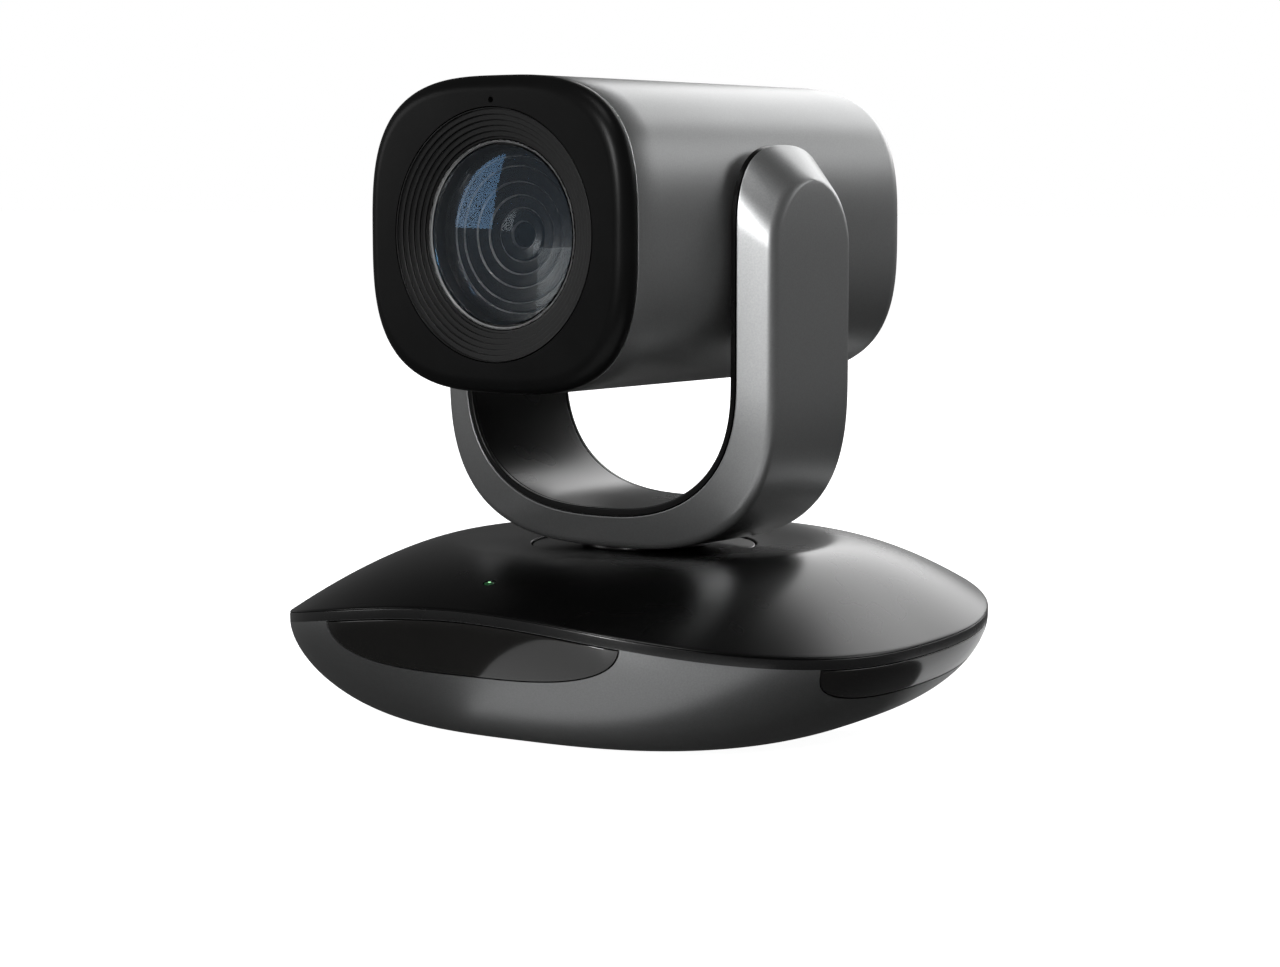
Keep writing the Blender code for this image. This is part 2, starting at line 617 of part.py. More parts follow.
def make_yoke(yoke):
    outer = u_stations(YOKE_OUTER, OUTER_TIP)
    cavity = u_stations(YOKE_OUTER, OUTER_TIP, YOKE_WALL)
    edge = u_stations(YOKE_EDGE, EDGE_TIP)
    rim_tip = tuple(v - YOKE_WALL if i in (0, 2) else v for i, v in enumerate(EDGE_TIP))
    rim = u_stations(YOKE_EDGE, rim_tip)
    section = [(outer, -1), (outer, 1), (edge, 1), (rim, 1), (cavity, 1), (cavity, -1), (rim, -1), (edge, -1)]
    cover = add("yoke_outer_cover", u_strip(section), "grey_satin", yoke)
    cut(cover, rod(NECK_RADIUS + GAP, 40 * MM, 50 * MM, count=ROUND_SEGMENTS))

    back = u_stations(YOKE_EDGE, EDGE_TIP, GAP)
    back = [(x, z, w) for (x, z, _), (_, _, w) in zip(back, edge)]
    front = u_stations(YOKE_INNER, EDGE_TIP)
    liner_section = [(back, -1), (back, 1), (front, 1), (front, -1)]
    liner = add("yoke_inner_cover", u_strip(liner_section), "black_gloss", yoke)
    axle = Matrix.Translation((0, 0, TILT_AXIS_HEIGHT)) @ ALONG_X
    cut(liner, rod(TRUNNION_RADIUS + 0.8 * MM, -60 * MM, 60 * MM, turn=axle, count=ROUND_SEGMENTS))

    outside, inside = u_stations(FRAME_OUTER, FRAME_TIP), u_stations(FRAME_INNER, FRAME_TIP)
    strip = [(outside, -1), (outside, 1), (inside, 1), (inside, -1)]
    frame = add("yoke_frame", u_strip(strip), "steel", yoke)
    cut(frame, rod(TRUNNION_BORE + GAP, -60 * MM, 60 * MM, turn=axle))
    cut(frame, rod(SPINDLE_BORE + 0.5 * MM, 40 * MM, 50 * MM))


def make_trunnions(yoke):
    at_axle = Matrix.Translation((0, 0, TILT_AXIS_HEIGHT))
    end, flange, outer_end = TRUNNION_X
    profile = [(TRUNNION_FLANGE, outer_end), (TRUNNION_FLANGE, flange), (TRUNNION_RADIUS, flange),
               (TRUNNION_RADIUS, end), (TRUNNION_BORE, end), (TRUNNION_BORE, outer_end)]
    for name, mirror in (("right_trunnion", 1), ("left_trunnion", -1)):
        shaft = turned([(r, mirror * h) for r, h in profile], closed=True, turn=ALONG_X, count=28)
        shaft.transform(at_axle)
        add(name, shaft, "steel", yoke)
    wheel = pulley_profile(TILT_PULLEY_RADIUS, TILT_BELT_X, TILT_BELT_WIDTH, TRUNNION_RADIUS + GAP)
    fixed = turned(wheel, closed=True, turn=ALONG_X)
    fixed.transform(at_axle)
    add("tilt_fixed_pulley", fixed, "nylon", yoke)


# ---------------------------------------------------------------- head

def head_ring(y, inset):
    def radius(a):
        return superellipse_radius(a, HEAD_HALF_WIDTH - inset, HEAD_HALF_HEIGHT - inset, HEAD_EXPONENT)
    ring = polar_ring(radius, lambda a: 0.0, HEAD_SEGMENTS)
    return [Vector((p.x, y, p.y)) for p in ring]


def head_circle(y, radius):
    return [Vector((p.x, y, p.y)) for p in circle(radius, 0.0, HEAD_SEGMENTS)]


def rear_round(turn):
    """(y, inset) on the rounded rear edge, from the side (0) to the back (90 degrees)."""
    y = HEAD_REAR - HEAD_REAR_ROUND * (1 - math.sin(turn))
    return y, HEAD_REAR_ROUND * (1 - math.cos(turn))


def make_head_shell(head):
    seam_turn = math.radians(40)
    seam_lip, lip_depth, wall_start = 4.5 * MM, 54 * MM, 50 * MM
    outside = [(HEAD_SEAM, 0.0), (0.0, 0.0)] + [rear_round(seam_turn * i / 3) for i in range(4)]
    last_y = outside[-1][0]
    inside = [(last_y, seam_lip), (lip_depth, seam_lip), (wall_start, HEAD_WALL), (HEAD_SEAM, HEAD_WALL)]
    rings = [head_ring(y, d) for y, d in outside + inside]
    shell = add("head_shell", loft(rings, closed=True), "head_grey", head)
    for x, z in REAR_SCREWS:
        place = Matrix.Translation((x, 0, z)) @ ALONG_Y
        boss = rod(3.4 * MM, 40 * MM, 53 * MM, turn=place)
        side = math.copysign(1, z)
        span = sorted((z + side * 2 * MM, side * (HEAD_HALF_HEIGHT - 1 * MM)))
        rib = block((x - 1.2 * MM, 40.5 * MM, span[0]), (x + 1.2 * MM, 49.5 * MM, span[1]))
        join(shell, boss, rib)
        cut(shell, rod(REAR_SCREW_RADIUS + GAP, 38 * MM, 60 * MM, turn=place))
    cut(shell, rod(TRUNNION_RADIUS + 1.4 * MM, -60 * MM, 60 * MM, turn=ALONG_X, count=28))


def make_rear_cover(head):
    start = math.radians(43)
    plug_inset, plug_front, lip_inset, lip_rear = 5.0 * MM, 54.6 * MM, 6.6 * MM, 58.0 * MM
    well_floor, head_floor, head_top = 59.4 * MM, 59.7 * MM, 60.45 * MM
    edge = [rear_round(start + (math.pi / 2 - start) * i / 3) for i in range(4)]
    plug = [(edge[0][0], plug_inset), (plug_front, plug_inset),
            (plug_front, lip_inset), (lip_rear, lip_inset)]
    panel = add("rear_cover", loft([head_ring(y, d) for y, d in edge[::-1] + plug]), "dark_plastic", head)
    screw = [(REAR_SCREW_RADIUS, 44 * MM), (REAR_SCREW_RADIUS, head_floor - 0.01 * MM),
             (REAR_SCREW_HEAD_RADIUS, head_floor), (REAR_SCREW_HEAD_RADIUS, head_top)]
    screws = []
    for x, z in REAR_SCREWS:
        place = Matrix.Translation((x, 0, z)) @ ALONG_Y
        cut(panel, rod(REAR_SCREW_HEAD_RADIUS + WELL_MARGIN, well_floor, 70 * MM, turn=place, count=16))
        cut(panel, rod(REAR_SCREW_RADIUS + GAP, 50 * MM, 70 * MM, turn=place))
        screws.append(turned(screw, count=16, turn=place))
    add_each("rear_screw", screws, "steel", head)


def make_bezel(head):
    dome = []
    for i in range(4):
        turn = math.pi / 2 * i / 3
        depth = 0.95 * BEZEL_ROUND * (1 - math.sin(turn))
        dome.append((HEAD_FRONT + depth, BEZEL_ROUND * (1 - math.cos(turn))))
    seam, bore, skirt_end = HEAD_SEAM - GAP, FUNNEL_RADIUS + 0.15 * MM, -49.5 * MM
    rings = [head_ring(seam, 0.0)]
    rings += [head_ring(y, d) for y, d in dome]
    rings += [head_circle(HEAD_FRONT, bore), head_circle(FACE_BACK, bore),
              head_circle(FACE_BACK, bore + 2.05 * MM)]
    rings += [head_ring(FACE_BACK + 0.8 * MM, 4.6 * MM), head_ring(skirt_end, 4.2 * MM),
              head_ring(skirt_end, 2.4 * MM), head_ring(seam, 2.4 * MM)]
    bezel = add("front_bezel", loft(rings, closed=True), "dark_plastic", head)
    x, z = MICROPHONE
    cut(bezel, rod(0.7 * MM, -70 * MM, -50 * MM, turn=Matrix.Translation((x, 0, z)) @ ALONG_Y))
    capsule = rod(1.5 * MM, -49.1 * MM, -45.5 * MM, turn=Matrix.Translation((x, 0, z)) @ ALONG_Y)
    add("microphone", capsule, "steel", head)


def make_baffle(head):
    profile = []
    tread = (FUNNEL_RADIUS - LENS_RADIUS - 0.5 * MM) / FUNNEL_STEPS
    riser = (LENS_WINDOW_Y - HEAD_FRONT) / FUNNEL_STEPS
    for i in range(FUNNEL_STEPS + 1):
        radius = FUNNEL_RADIUS - 0.4 * MM - tread * i
        profile.append((radius, HEAD_FRONT + riser * i))
        if i < FUNNEL_STEPS:
            profile.append((radius, HEAD_FRONT + riser * (i + 1)))
    outer, flange, rear = FUNNEL_RADIUS - 0.15 * MM, FUNNEL_RADIUS + 0.7 * MM, -53.0 * MM
    profile += [(LENS_RADIUS, profile[-1][1]), (LENS_RADIUS, rear), (flange, rear),
                (flange, FACE_BACK + GAP), (outer, FACE_BACK + GAP), (outer, HEAD_FRONT)]
    ring = turned(profile, closed=True, count=HEAD_SEGMENTS, turn=ALONG_Y)
    add("baffle_ring", ring, "dark_plastic", head)


def make_lens(head):
    glass = turned([(GLASS_RADIUS, -54.2 * MM), (GLASS_RADIUS, -53.0 * MM)], turn=ALONG_Y, count=48)
    add("front_glass", glass, "clear_glass", head)
    barrel = tube(BARREL_BORE, BARREL_RADIUS, -52.7 * MM, BARREL_REAR, turn=ALONG_Y, count=48)
    add("lens_barrel", barrel, "dark_plastic", head)
    bulge = [(20.0 * MM, -44.0 * MM), (20.0 * MM, -48.0 * MM), (17.0 * MM, -49.4 * MM),
             (12.0 * MM, -50.8 * MM), (5.0 * MM, -51.6 * MM)]
    add("front_lens_group", turned(bulge, turn=ALONG_Y), "clear_glass", head)
    bars = []
    for x in GUIDE_ROD_X:
        place = Matrix.Translation((x, 0, 0)) @ ALONG_Y
        bars.append(rod(GUIDE_ROD_RADIUS, -43.7 * MM, BARREL_REAR - 0.2 * MM, turn=place))
    add_each("lens_guide_rod", bars, "steel", head)
    make_lens_cell("zoom_lens_group", -34 * MM, -27 * MM, 2.4 * MM, head)
    make_lens_cell("focus_lens_group", -10 * MM, -5 * MM, 1.6 * MM, head)
    make_lens_motor("zoom_motor", LENS_MOTOR_OFFSET, -40 * MM, -26 * MM, head)
    make_lens_motor("focus_motor", -LENS_MOTOR_OFFSET, -18 * MM, -5 * MM, head)
    board_half, sensor_half = 17 * MM, 7 * MM
    board_front, board_rear, sensor_rear = BARREL_REAR + 0.4 * MM, BARREL_REAR + 2 * MM, BARREL_REAR + 5 * MM
    board = block((-board_half, board_front, -board_half), (board_half, board_rear, board_half))
    made = add("sensor_board", board, "board_green", head)
    sensor_front = board_rear - 0.5 * MM
    join(made, block((-sensor_half, sensor_front, -sensor_half), (sensor_half, sensor_rear, sensor_half)))


def make_lens_cell(name, front, rear, crown, head):
    """A moving lens cell with a domed element, bored for the guide rods."""
    cell_radius, glass_radius = BARREL_BORE - 0.5 * MM, 13.5 * MM
    profile = [(cell_radius, rear), (cell_radius, front), (glass_radius, front),
               (9 * MM, front - 0.7 * crown), (4 * MM, front - crown)]
    cell = add(name, turned(profile, turn=ALONG_Y), "dark_plastic", head)
    for x in GUIDE_ROD_X:
        place = Matrix.Translation((x, 0, 0)) @ ALONG_Y
        cut(cell, rod(GUIDE_ROD_RADIUS + 0.35 * MM, -60 * MM, 20 * MM, turn=place))


def make_lens_motor(name, x, front, rear, head):
    body_radius, shaft_radius, shaft_length = 4.2 * MM, 0.9 * MM, 8 * MM
    place = Matrix.Translation((x, 0, -LENS_MOTOR_OFFSET)) @ ALONG_Y
    profile = [(body_radius, front), (body_radius, rear), (shaft_radius, rear + 0.01 * MM),
               (shaft_radius, rear + shaft_length)]
    add(name, turned(profile, count=24, turn=place), "steel", head)


def make_head_chassis(head):
    low, high = math.radians(150), math.radians(390)
    steps, front, rear = 30, -13 * MM, 48 * MM
    outer_inset, inner_inset = 2.8 * MM, 4.4 * MM
    section = ((outer_inset, front), (outer_inset, rear), (inner_inset, rear), (inner_inset, front))
    rings = []
    for i in range(steps + 1):
        angle = low + (high - low) * i / steps
        ring = []
        for inset, y in section:
            half_width, half_height = HEAD_HALF_WIDTH - inset, HEAD_HALF_HEIGHT - inset
            radius = superellipse_radius(angle, half_width, half_height, HEAD_EXPONENT)
            ring.append(Vector((radius * math.cos(angle), y, radius * math.sin(angle))))
        rings.append(ring)
    chassis = add("head_chassis", loft(rings), "aluminium", head)
    motor_y, motor_z = TILT_MOTOR
    reach = TILT_MOTOR_RADIUS + 1 * MM
    bracket_foot = -31.2 * MM
    join(chassis, block((BRACKET_X[0], motor_y - reach, bracket_foot),
                        (BRACKET_X[1], motor_y + reach, motor_z + reach)))
    motor_place = Matrix.Translation((0, motor_y, motor_z))
    cut(chassis, rod(MOTOR_SHAFT_RADIUS + 0.7 * MM, -23 * MM, -16 * MM, turn=motor_place @ ALONG_X))
    cut(chassis, rod(BUSH_RADIUS + GAP, -60 * MM, 60 * MM, turn=ALONG_X, count=28))
    boss_slot = block((-5 * MM, 36 * MM, -40 * MM), (5 * MM, 60 * MM, -10 * MM))
    cut(chassis, boss_slot)
    for name, side in (("left_tilt_bush", -1), ("right_tilt_bush", 1)):
        start, end = side * BUSH_X[0], side * BUSH_X[1]
        bush = tube(TRUNNION_RADIUS + GAP, BUSH_RADIUS, start, end, count=28, turn=ALONG_X)
        add(name, bush, "brass", head)
    make_tilt_drive(head, motor_place)


def make_tilt_drive(head, motor_place):
    ends = [(TILT_MOTOR_RADIUS, x) for x in TILT_MOTOR_X]
    add("tilt_motor", turned(ends, turn=motor_place @ ALONG_X), "steel", head)
    wheel = pulley_profile(TILT_MOTOR_PULLEY_RADIUS, TILT_BELT_X, TILT_BELT_WIDTH, 0.0)
    wheel += [(MOTOR_SHAFT_RADIUS, wheel[-1][1]), (MOTOR_SHAFT_RADIUS, TILT_MOTOR_X[0] - 0.5 * MM)]
    small = add("tilt_motor_pulley", turned(wheel, turn=ALONG_X, count=24), "brass", head)
    small.location = (0, *TILT_MOTOR)
    band = belt((0.0, 0.0), TILT_PULLEY_RADIUS, TILT_MOTOR, TILT_MOTOR_PULLEY_RADIUS,
                TILT_BELT_X, TILT_BELT_WIDTH)
    upright = Matrix(((0, 0, 1, 0), (1, 0, 0, 0), (0, 1, 0, 0), (0, 0, 0, 1)))
    band.transform(upright)
    add("tilt_belt", band, "rubber", head)


# ---------------------------------------------------------------- assembly

def make_status_led():
    low, high = 36 * MM, cover_height(math.radians(-90), abs(LED_SPOT[1])) + 0.1 * MM
    add("status_led", rod(LED_RADIUS, low, high, centre=LED_SPOT, count=16), "led_green")


def empty(name, parent=None):
    made = bpy.data.objects.new(name, None)
    bpy.context.scene.collection.objects.link(made)
    made.parent = parent
    return made


def main():
    for old in list(bpy.data.objects):
        bpy.data.objects.remove(old)
    yoke = empty("pan_axis")
    yoke.rotation_euler = (0, 0, PAN_AT_REST)
    head = empty("tilt_axis", yoke)
    head.location = (0, 0, TILT_AXIS_HEIGHT)
    bpy.context.view_layer.update()
    make_bottom_shell()
    make_top_cover()
    make_windows()
    make_ir_receivers()
    make_status_led()
    make_base_floor()
    make_ports()
    make_main_board()
    make_pan_drive(yoke)
    make_yoke(yoke)
    make_trunnions(yoke)
    make_head_shell(head)
    make_rear_cover(head)
    make_bezel(head)
    make_baffle(head)
    make_lens(head)
    make_head_chassis(head)


main()
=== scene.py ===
"""Looks for the pan-tilt-zoom camera: fine meshes, materials, light and camera around the CAD frame.

Metres, +Z up. The base's front faces -Y. Pieces of the yoke and the head are modelled with the pan
angle at zero and then turned to the pan angle that the CAD has at rest.
"""

import math

import bmesh
import bpy
from mathutils import Matrix, Vector


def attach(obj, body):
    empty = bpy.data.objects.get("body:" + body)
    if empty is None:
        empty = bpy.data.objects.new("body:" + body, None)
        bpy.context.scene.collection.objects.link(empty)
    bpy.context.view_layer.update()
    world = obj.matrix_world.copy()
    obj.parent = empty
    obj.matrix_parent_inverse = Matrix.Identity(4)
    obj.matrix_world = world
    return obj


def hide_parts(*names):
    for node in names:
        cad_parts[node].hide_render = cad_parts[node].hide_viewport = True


MM = 0.001
GAP = 0.3 * MM

# Base housing
BASE_HALF_X = 77.7 * MM
BASE_HALF_Y = 79.9 * MM
BASE_EXPONENT = 2.75
BASE_WALL = 2.2 * MM
FOOT_HEIGHT = 1.5 * MM
RIM_HEIGHT = 28.9 * MM
RIM_WAVE = 5.73 * MM
RIM_WAVE_FINE = 0.84 * MM
RIM_BAND = 1.95 * MM
BOWL_FOOT_RATIO = 0.626
BOWL_EXPONENT = 1.7
COVER_EXPONENT = 1.65
COVER_WALL = 2.6 * MM
PLATEAU_RADIUS = 46.2 * MM
PLATEAU_HEIGHT = 43.5 * MM
DISC_RADIUS = 27.2 * MM
DISC_TOP = 42.0 * MM
DISC_THICKNESS = 2.5 * MM
NECK_RADIUS = 15.0 * MM
NECK_TOP = 45.0 * MM
FEET = [(sx * 32.0 * MM, sy * 18.0 * MM) for sx in (-1, 1) for sy in (-1, 1)]
SCREWS = [(sx * 18.0 * MM, sy * 36.0 * MM) for sx in (-1, 1) for sy in (-1, 1)]
PORT_POCKET = ((-21.2 * MM, 60.0 * MM, 8.8 * MM), (21.2 * MM, 90.0 * MM, 25.4 * MM))
LED_SPOT = (0.0, -66.3 * MM)
LED_RADIUS = 1.2 * MM
LED_DOME = 0.25 * MM
LED_DIE_RADIUS = 0.34 * MM
LED_HOLE_RADIUS = 1.5 * MM
FOOT_RECESS = (6.4 * MM, 2.6 * MM)
SCREW_RECESS = (3.2 * MM, 2.4 * MM)
SCREW_HOLE_RADIUS = 1.9 * MM
INSERT_HOLE_RADIUS = 5.3 * MM
INSERT_RADIUS = 5.0 * MM
INSERT_BORE = 2.6 * MM
INSERT_ENDS = (1.8 * MM, 10.5 * MM)
THREAD_PITCH = 1.27 * MM
THREAD_DEPTH = 0.42 * MM
COVER_SKIRT = ((4.4 * MM, -2.6 * MM), (2.6 * MM, -2.6 * MM), (2.6 * MM, GAP))
COVER_UNDERSIDE_INSET = 4.6 * MM

# Windows in the base: heading, half angle, depth below the rim band, exponent of the outline
WINDOWS = {
    "front_window": (math.radians(-90), math.radians(27.8), 13.1 * MM, 2.2),
    "right_window": (0.0, math.radians(30.8), 8.3 * MM, 4.0),
    "left_window": (math.radians(180), math.radians(30.8), 8.3 * MM, 4.0),
}
WINDOW_THICKNESS = 1.7 * MM
BAND_REACH = 0.36 * MM

# Yoke
PAN_AT_REST = math.radians(-5.2)
TILT_AXIS_HEIGHT = 117.9 * MM
YOKE_WALL = 1.8 * MM
YOKE_OUTER = (49.2 * MM, 86.0 * MM, 43.3 * MM, 2.9)
YOKE_EDGE = (40.5 * MM, 85.0 * MM, 34.4 * MM, 2.5)
YOKE_INNER = (38.9 * MM, 84.8 * MM, 32.2 * MM, 2.55)
OUTER_TIP = (16.1 * MM, -4.5 * MM, 17.1 * MM, 2.0)
EDGE_TIP = (19.0 * MM, -0.1 * MM, 20.8 * MM, 2.6)
AXLE_HOLE_RADIUS = 5.8 * MM
YOKE_NECK_HOLE = 15.3 * MM
LINER_RIM = 1.1 * MM
LINER_GROOVE = 1.45 * MM

# Head, measured from the tilt axis
HEAD_HALF_WIDTH = 38.1 * MM
HEAD_HALF_HEIGHT = 36.0 * MM
HEAD_EXPONENT = 3.1
HEAD_WALL = 2.0 * MM
HEAD_FRONT = -57.6 * MM
HEAD_SEAM = -52.9 * MM
HEAD_REAR = 60.5 * MM
HEAD_REAR_ROUND = 8.5 * MM
BEZEL_ROUND = 3.8 * MM
FACE_BACK = HEAD_FRONT + 1.8 * MM
BEZEL_REAR = -49.5 * MM
REAR_PLUG = 54.6 * MM
FUNNEL_RADIUS = 28.8 * MM
FUNNEL_STEPS = 6
LENS_RADIUS = 20.9 * MM
LENS_WINDOW_Y = -54.3 * MM
GLASS_RADIUS = 20.4 * MM
LIP_CHAMFER = 0.55 * MM
BARREL_RADIUS = 22.5 * MM
BARREL_BORE = 20.3 * MM
BARREL_FRONT = -52.7 * MM
BARREL_REAR = 8.0 * MM
BAFFLE_REAR = -53.0 * MM
BAFFLE_FLANGE = 29.5 * MM
MICROPHONE = (0.0, 30.4 * MM)
SIDE_HOLE_RADIUS = 6.4 * MM
MICROPHONE_HOLE = 0.7 * MM
REAR_SCREWS = [(0.0, 25 * MM), (0.0, -25 * MM)]

# Cells of the front lens group, in mm: outer and inner radius, front and rear, chamfer
LENS_CELLS = {
    "front_lens_cell": (20.0, 17.2, -46.2, -43.8, 0.4),
    "front_lens_retainer": (17.0, 14.9, -45.8, -43.8, 0.4),
    "second_lens_cell": (14.7, 11.4, -45.2, -42.4, 0.4),
    "third_lens_cell": (11.2, 8.4, -44.6, -42.0, 0.4),
    "fourth_lens_cell": (8.2, 5.6, -44.0, -41.9, 0.4),
    "iris_cell": (5.4, 2.6, -43.4, -41.8, 0.4),
}

BASE_SEGMENTS = 288
HEAD_SEGMENTS = 240
ROUND_SEGMENTS = 128
ARCH_STEPS = 40
STRAIGHT_STEPS = 8
BEND_STEPS = 140
CORNER_STEPS = 5

ALONG_X = Matrix.Rotation(math.pi / 2, 4, "Y")
ALONG_Y = Matrix.Rotation(-math.pi / 2, 4, "X")
PANNED = Matrix.Rotation(PAN_AT_REST, 4, "Z")
HEAD_PLACE = PANNED @ Matrix.Translation((0, 0, TILT_AXIS_HEIGHT))

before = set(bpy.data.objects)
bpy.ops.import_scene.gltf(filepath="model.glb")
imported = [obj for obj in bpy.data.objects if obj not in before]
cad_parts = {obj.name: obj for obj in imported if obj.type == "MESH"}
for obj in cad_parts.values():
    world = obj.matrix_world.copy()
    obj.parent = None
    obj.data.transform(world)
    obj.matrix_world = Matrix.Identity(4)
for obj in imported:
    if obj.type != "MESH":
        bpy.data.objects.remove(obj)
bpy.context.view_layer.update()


# ---------------------------------------------------------------- materials

class Finish:
    """A procedural material: a Principled shader fed by object-space noise."""

    def __init__(self, name):
        self.material = bpy.data.materials.new(name)
        self.material.use_nodes = True
        self.nodes = self.material.node_tree.nodes
        self.links = self.material.node_tree.links
        self.shader = self.nodes["Principled BSDF"]
        self.place = self.nodes.new("ShaderNodeTexCoord").outputs["Object"]

    def set(self, **values):
        for socket, value in values.items():
            self.shader.inputs[socket.replace("_", " ")].default_value = value
        return self

    def noise(self, scale, detail=4.0, stretch=None, roughness=0.55):
        node = self.nodes.new("ShaderNodeTexNoise")
        node.inputs["Scale"].default_value = scale
        node.inputs["Detail"].default_value = detail
        node.inputs["Roughness"].default_value = roughness
        place = self.place
        if stretch is not None:
            mapping = self.nodes.new("ShaderNodeMapping")
            mapping.inputs["Scale"].default_value = stretch
            self.links.new(self.place, mapping.inputs["Vector"])
            place = mapping.outputs["Vector"]
        self.links.new(place, node.inputs["Vector"])
        return node.outputs["Fac"]

    def ramp(self, factor, low, high, start=0.3, end=0.7):
        """Colours or greys between low and high as the factor goes from start to end."""
        node = self.nodes.new("ShaderNodeValToRGB")
        for stop, position, value in zip(node.color_ramp.elements, (start, end), (low, high)):
            stop.position = position
            stop.color = (*value, 1.0) if isinstance(value, tuple) else (value, value, value, 1.0)
        self.links.new(factor, node.inputs["Fac"])
        return node.outputs["Color"]

    def color(self, factor, low, high, start=0.3, end=0.7):
        self.links.new(self.ramp(factor, low, high, start, end), self.shader.inputs["Base Color"])
        return self

    def rough(self, factor, low, high, start=0.3, end=0.7):
        self.links.new(self.ramp(factor, low, high, start, end), self.shader.inputs["Roughness"])
        return self

    def bump(self, height, strength, distance):
        node = self.nodes.new("ShaderNodeBump")
        node.inputs["Strength"].default_value = strength
        node.inputs["Distance"].default_value = distance
        self.links.new(height, node.inputs["Height"])
        self.links.new(node.outputs["Normal"], self.shader.inputs["Normal"])
        return self


def grey(value):
    return (value, value * 1.012, value * 1.018)


def metallic_paint(name, shade, roughness):
    """Satin metallic paint: fine flake grain, cloudy roughness, a light orange-peel bump."""
    paint = Finish(name).set(Metallic=0.85, Coat_Weight=0.12, Coat_Roughness=0.28)
    paint.color(paint.noise(2600, 2.0), grey(shade * 0.93), grey(shade * 1.07))
    paint.rough(paint.noise(60, 1.0), roughness - 0.006, roughness + 0.006)
    return paint.bump(paint.noise(1500, 3.0), 0.10, 0.05 * MM).material


def black_gloss(name="black_gloss"):
    """Polished black plastic with faint handling haze in its roughness."""
    gloss = Finish(name).set(Specular_IOR_Level=0.31)
    gloss.color(gloss.noise(60), grey(0.0010), grey(0.0018))
    gloss.rough(gloss.noise(40, 2.0), 0.27, 0.285)
    return gloss.bump(gloss.noise(1600, 2.0), 0.02, 0.02 * MM).material


def satin_black(name, shade, low, high, grain=1900, strength=0.16, gloss=0.5):
    """Spark-eroded black plastic: fine even grain."""
    plastic = Finish(name).set(Specular_IOR_Level=gloss)
    plastic.color(plastic.noise(70), grey(shade * 0.85), grey(shade * 1.15))
    plastic.rough(plastic.noise(45), low, high)
    return plastic.bump(plastic.noise(grain, 3.0), strength, 0.05 * MM).material


def smoked_plastic():
    """Infrared-passing window: almost black, polished, very slightly wavy."""
    smoked = Finish("smoked_plastic").set(Specular_IOR_Level=0.62, Coat_Weight=0.3, Coat_Roughness=0.05)
    smoked.color(smoked.noise(40), (0.0052, 0.0050, 0.0046), (0.0080, 0.0077, 0.0072))
    smoked.rough(smoked.noise(30), 0.10, 0.12)
    return smoked.bump(smoked.noise(55, 1.0), 0.02, 0.2 * MM).material


def coated_glass(name, tint, mirror, roughness=0.0):
    """Lens glass with an anti-reflection coating that tints and dims what it reflects."""
    glass = Finish(name).set(Transmission_Weight=1.0, IOR=1.5)
    glass.set(Specular_Tint=(*tint, 1.0), Specular_IOR_Level=mirror)
    glass.color(glass.noise(20), (0.93, 0.95, 0.97), (0.97, 0.98, 0.99))
    return glass.rough(glass.noise(25), roughness, roughness + 0.004).material


def metal(name, low, high, roughness, stretch=None, grain=900):
    """Bare metal with turning or brushing marks along one direction."""
    bare = Finish(name).set(Metallic=1.0)
    bare.color(bare.noise(50), low, high)
    bare.rough(bare.noise(300, stretch=stretch), roughness - 0.07, roughness + 0.07)
    return bare.bump(bare.noise(grain, 2.0, stretch=stretch), 0.12, 0.03 * MM).material


def rubber_material():
    rubber = Finish("rubber")
    rubber.color(rubber.noise(120), (0.010, 0.010, 0.011), (0.024, 0.024, 0.025))
    rubber.rough(rubber.noise(200), 0.72, 0.92)
    return rubber.bump(rubber.noise(1100, 5.0), 0.35, 0.08 * MM).material


def nylon_material():
    nylon = Finish("nylon").set(Subsurface_Weight=0.1, Subsurface_Scale=1.5 * MM)
    nylon.color(nylon.noise(60), (0.62, 0.60, 0.55), (0.72, 0.70, 0.65))
    nylon.rough(nylon.noise(80), 0.42, 0.55)
    return nylon.bump(nylon.noise(700), 0.10, 0.05 * MM).material


def board_material():
    """Green solder mask over a copper pattern of traces and pads."""
    board = Finish("circuit_board").set(Coat_Weight=0.4, Coat_Roughness=0.2)
    traces = board.nodes.new("ShaderNodeTexBrick")
    traces.inputs["Scale"].default_value = 160
    traces.inputs["Color1"].default_value = (0.012, 0.085, 0.035, 1)
    traces.inputs["Color2"].default_value = (0.016, 0.105, 0.045, 1)
    traces.inputs["Mortar"].default_value = (0.030, 0.190, 0.085, 1)
    traces.inputs["Mortar Size"].default_value = 0.03
    board.links.new(board.place, traces.inputs["Vector"])
    board.links.new(traces.outputs["Color"], board.shader.inputs["Base Color"])
    board.rough(board.noise(140), 0.32, 0.46)
    return board.bump(traces.outputs["Fac"], 0.2, 0.05 * MM).material


def led_material():
    led = Finish("led_green").set(Emission_Color=(0.15, 1.0, 0.3, 1.0), Emission_Strength=0.03)
    led.color(led.noise(300), (0.002, 0.016, 0.005), (0.004, 0.026, 0.009))
    return led.rough(led.noise(400), 0.18, 0.26).material


def led_die_material():
    die = Finish("led_die").set(Emission_Color=(0.45, 1.0, 0.5, 1.0), Emission_Strength=1.6)
    die.color(die.noise(500), (0.3, 0.8, 0.35), (0.4, 0.9, 0.45))
    return die.rough(die.noise(400), 0.3, 0.4).material


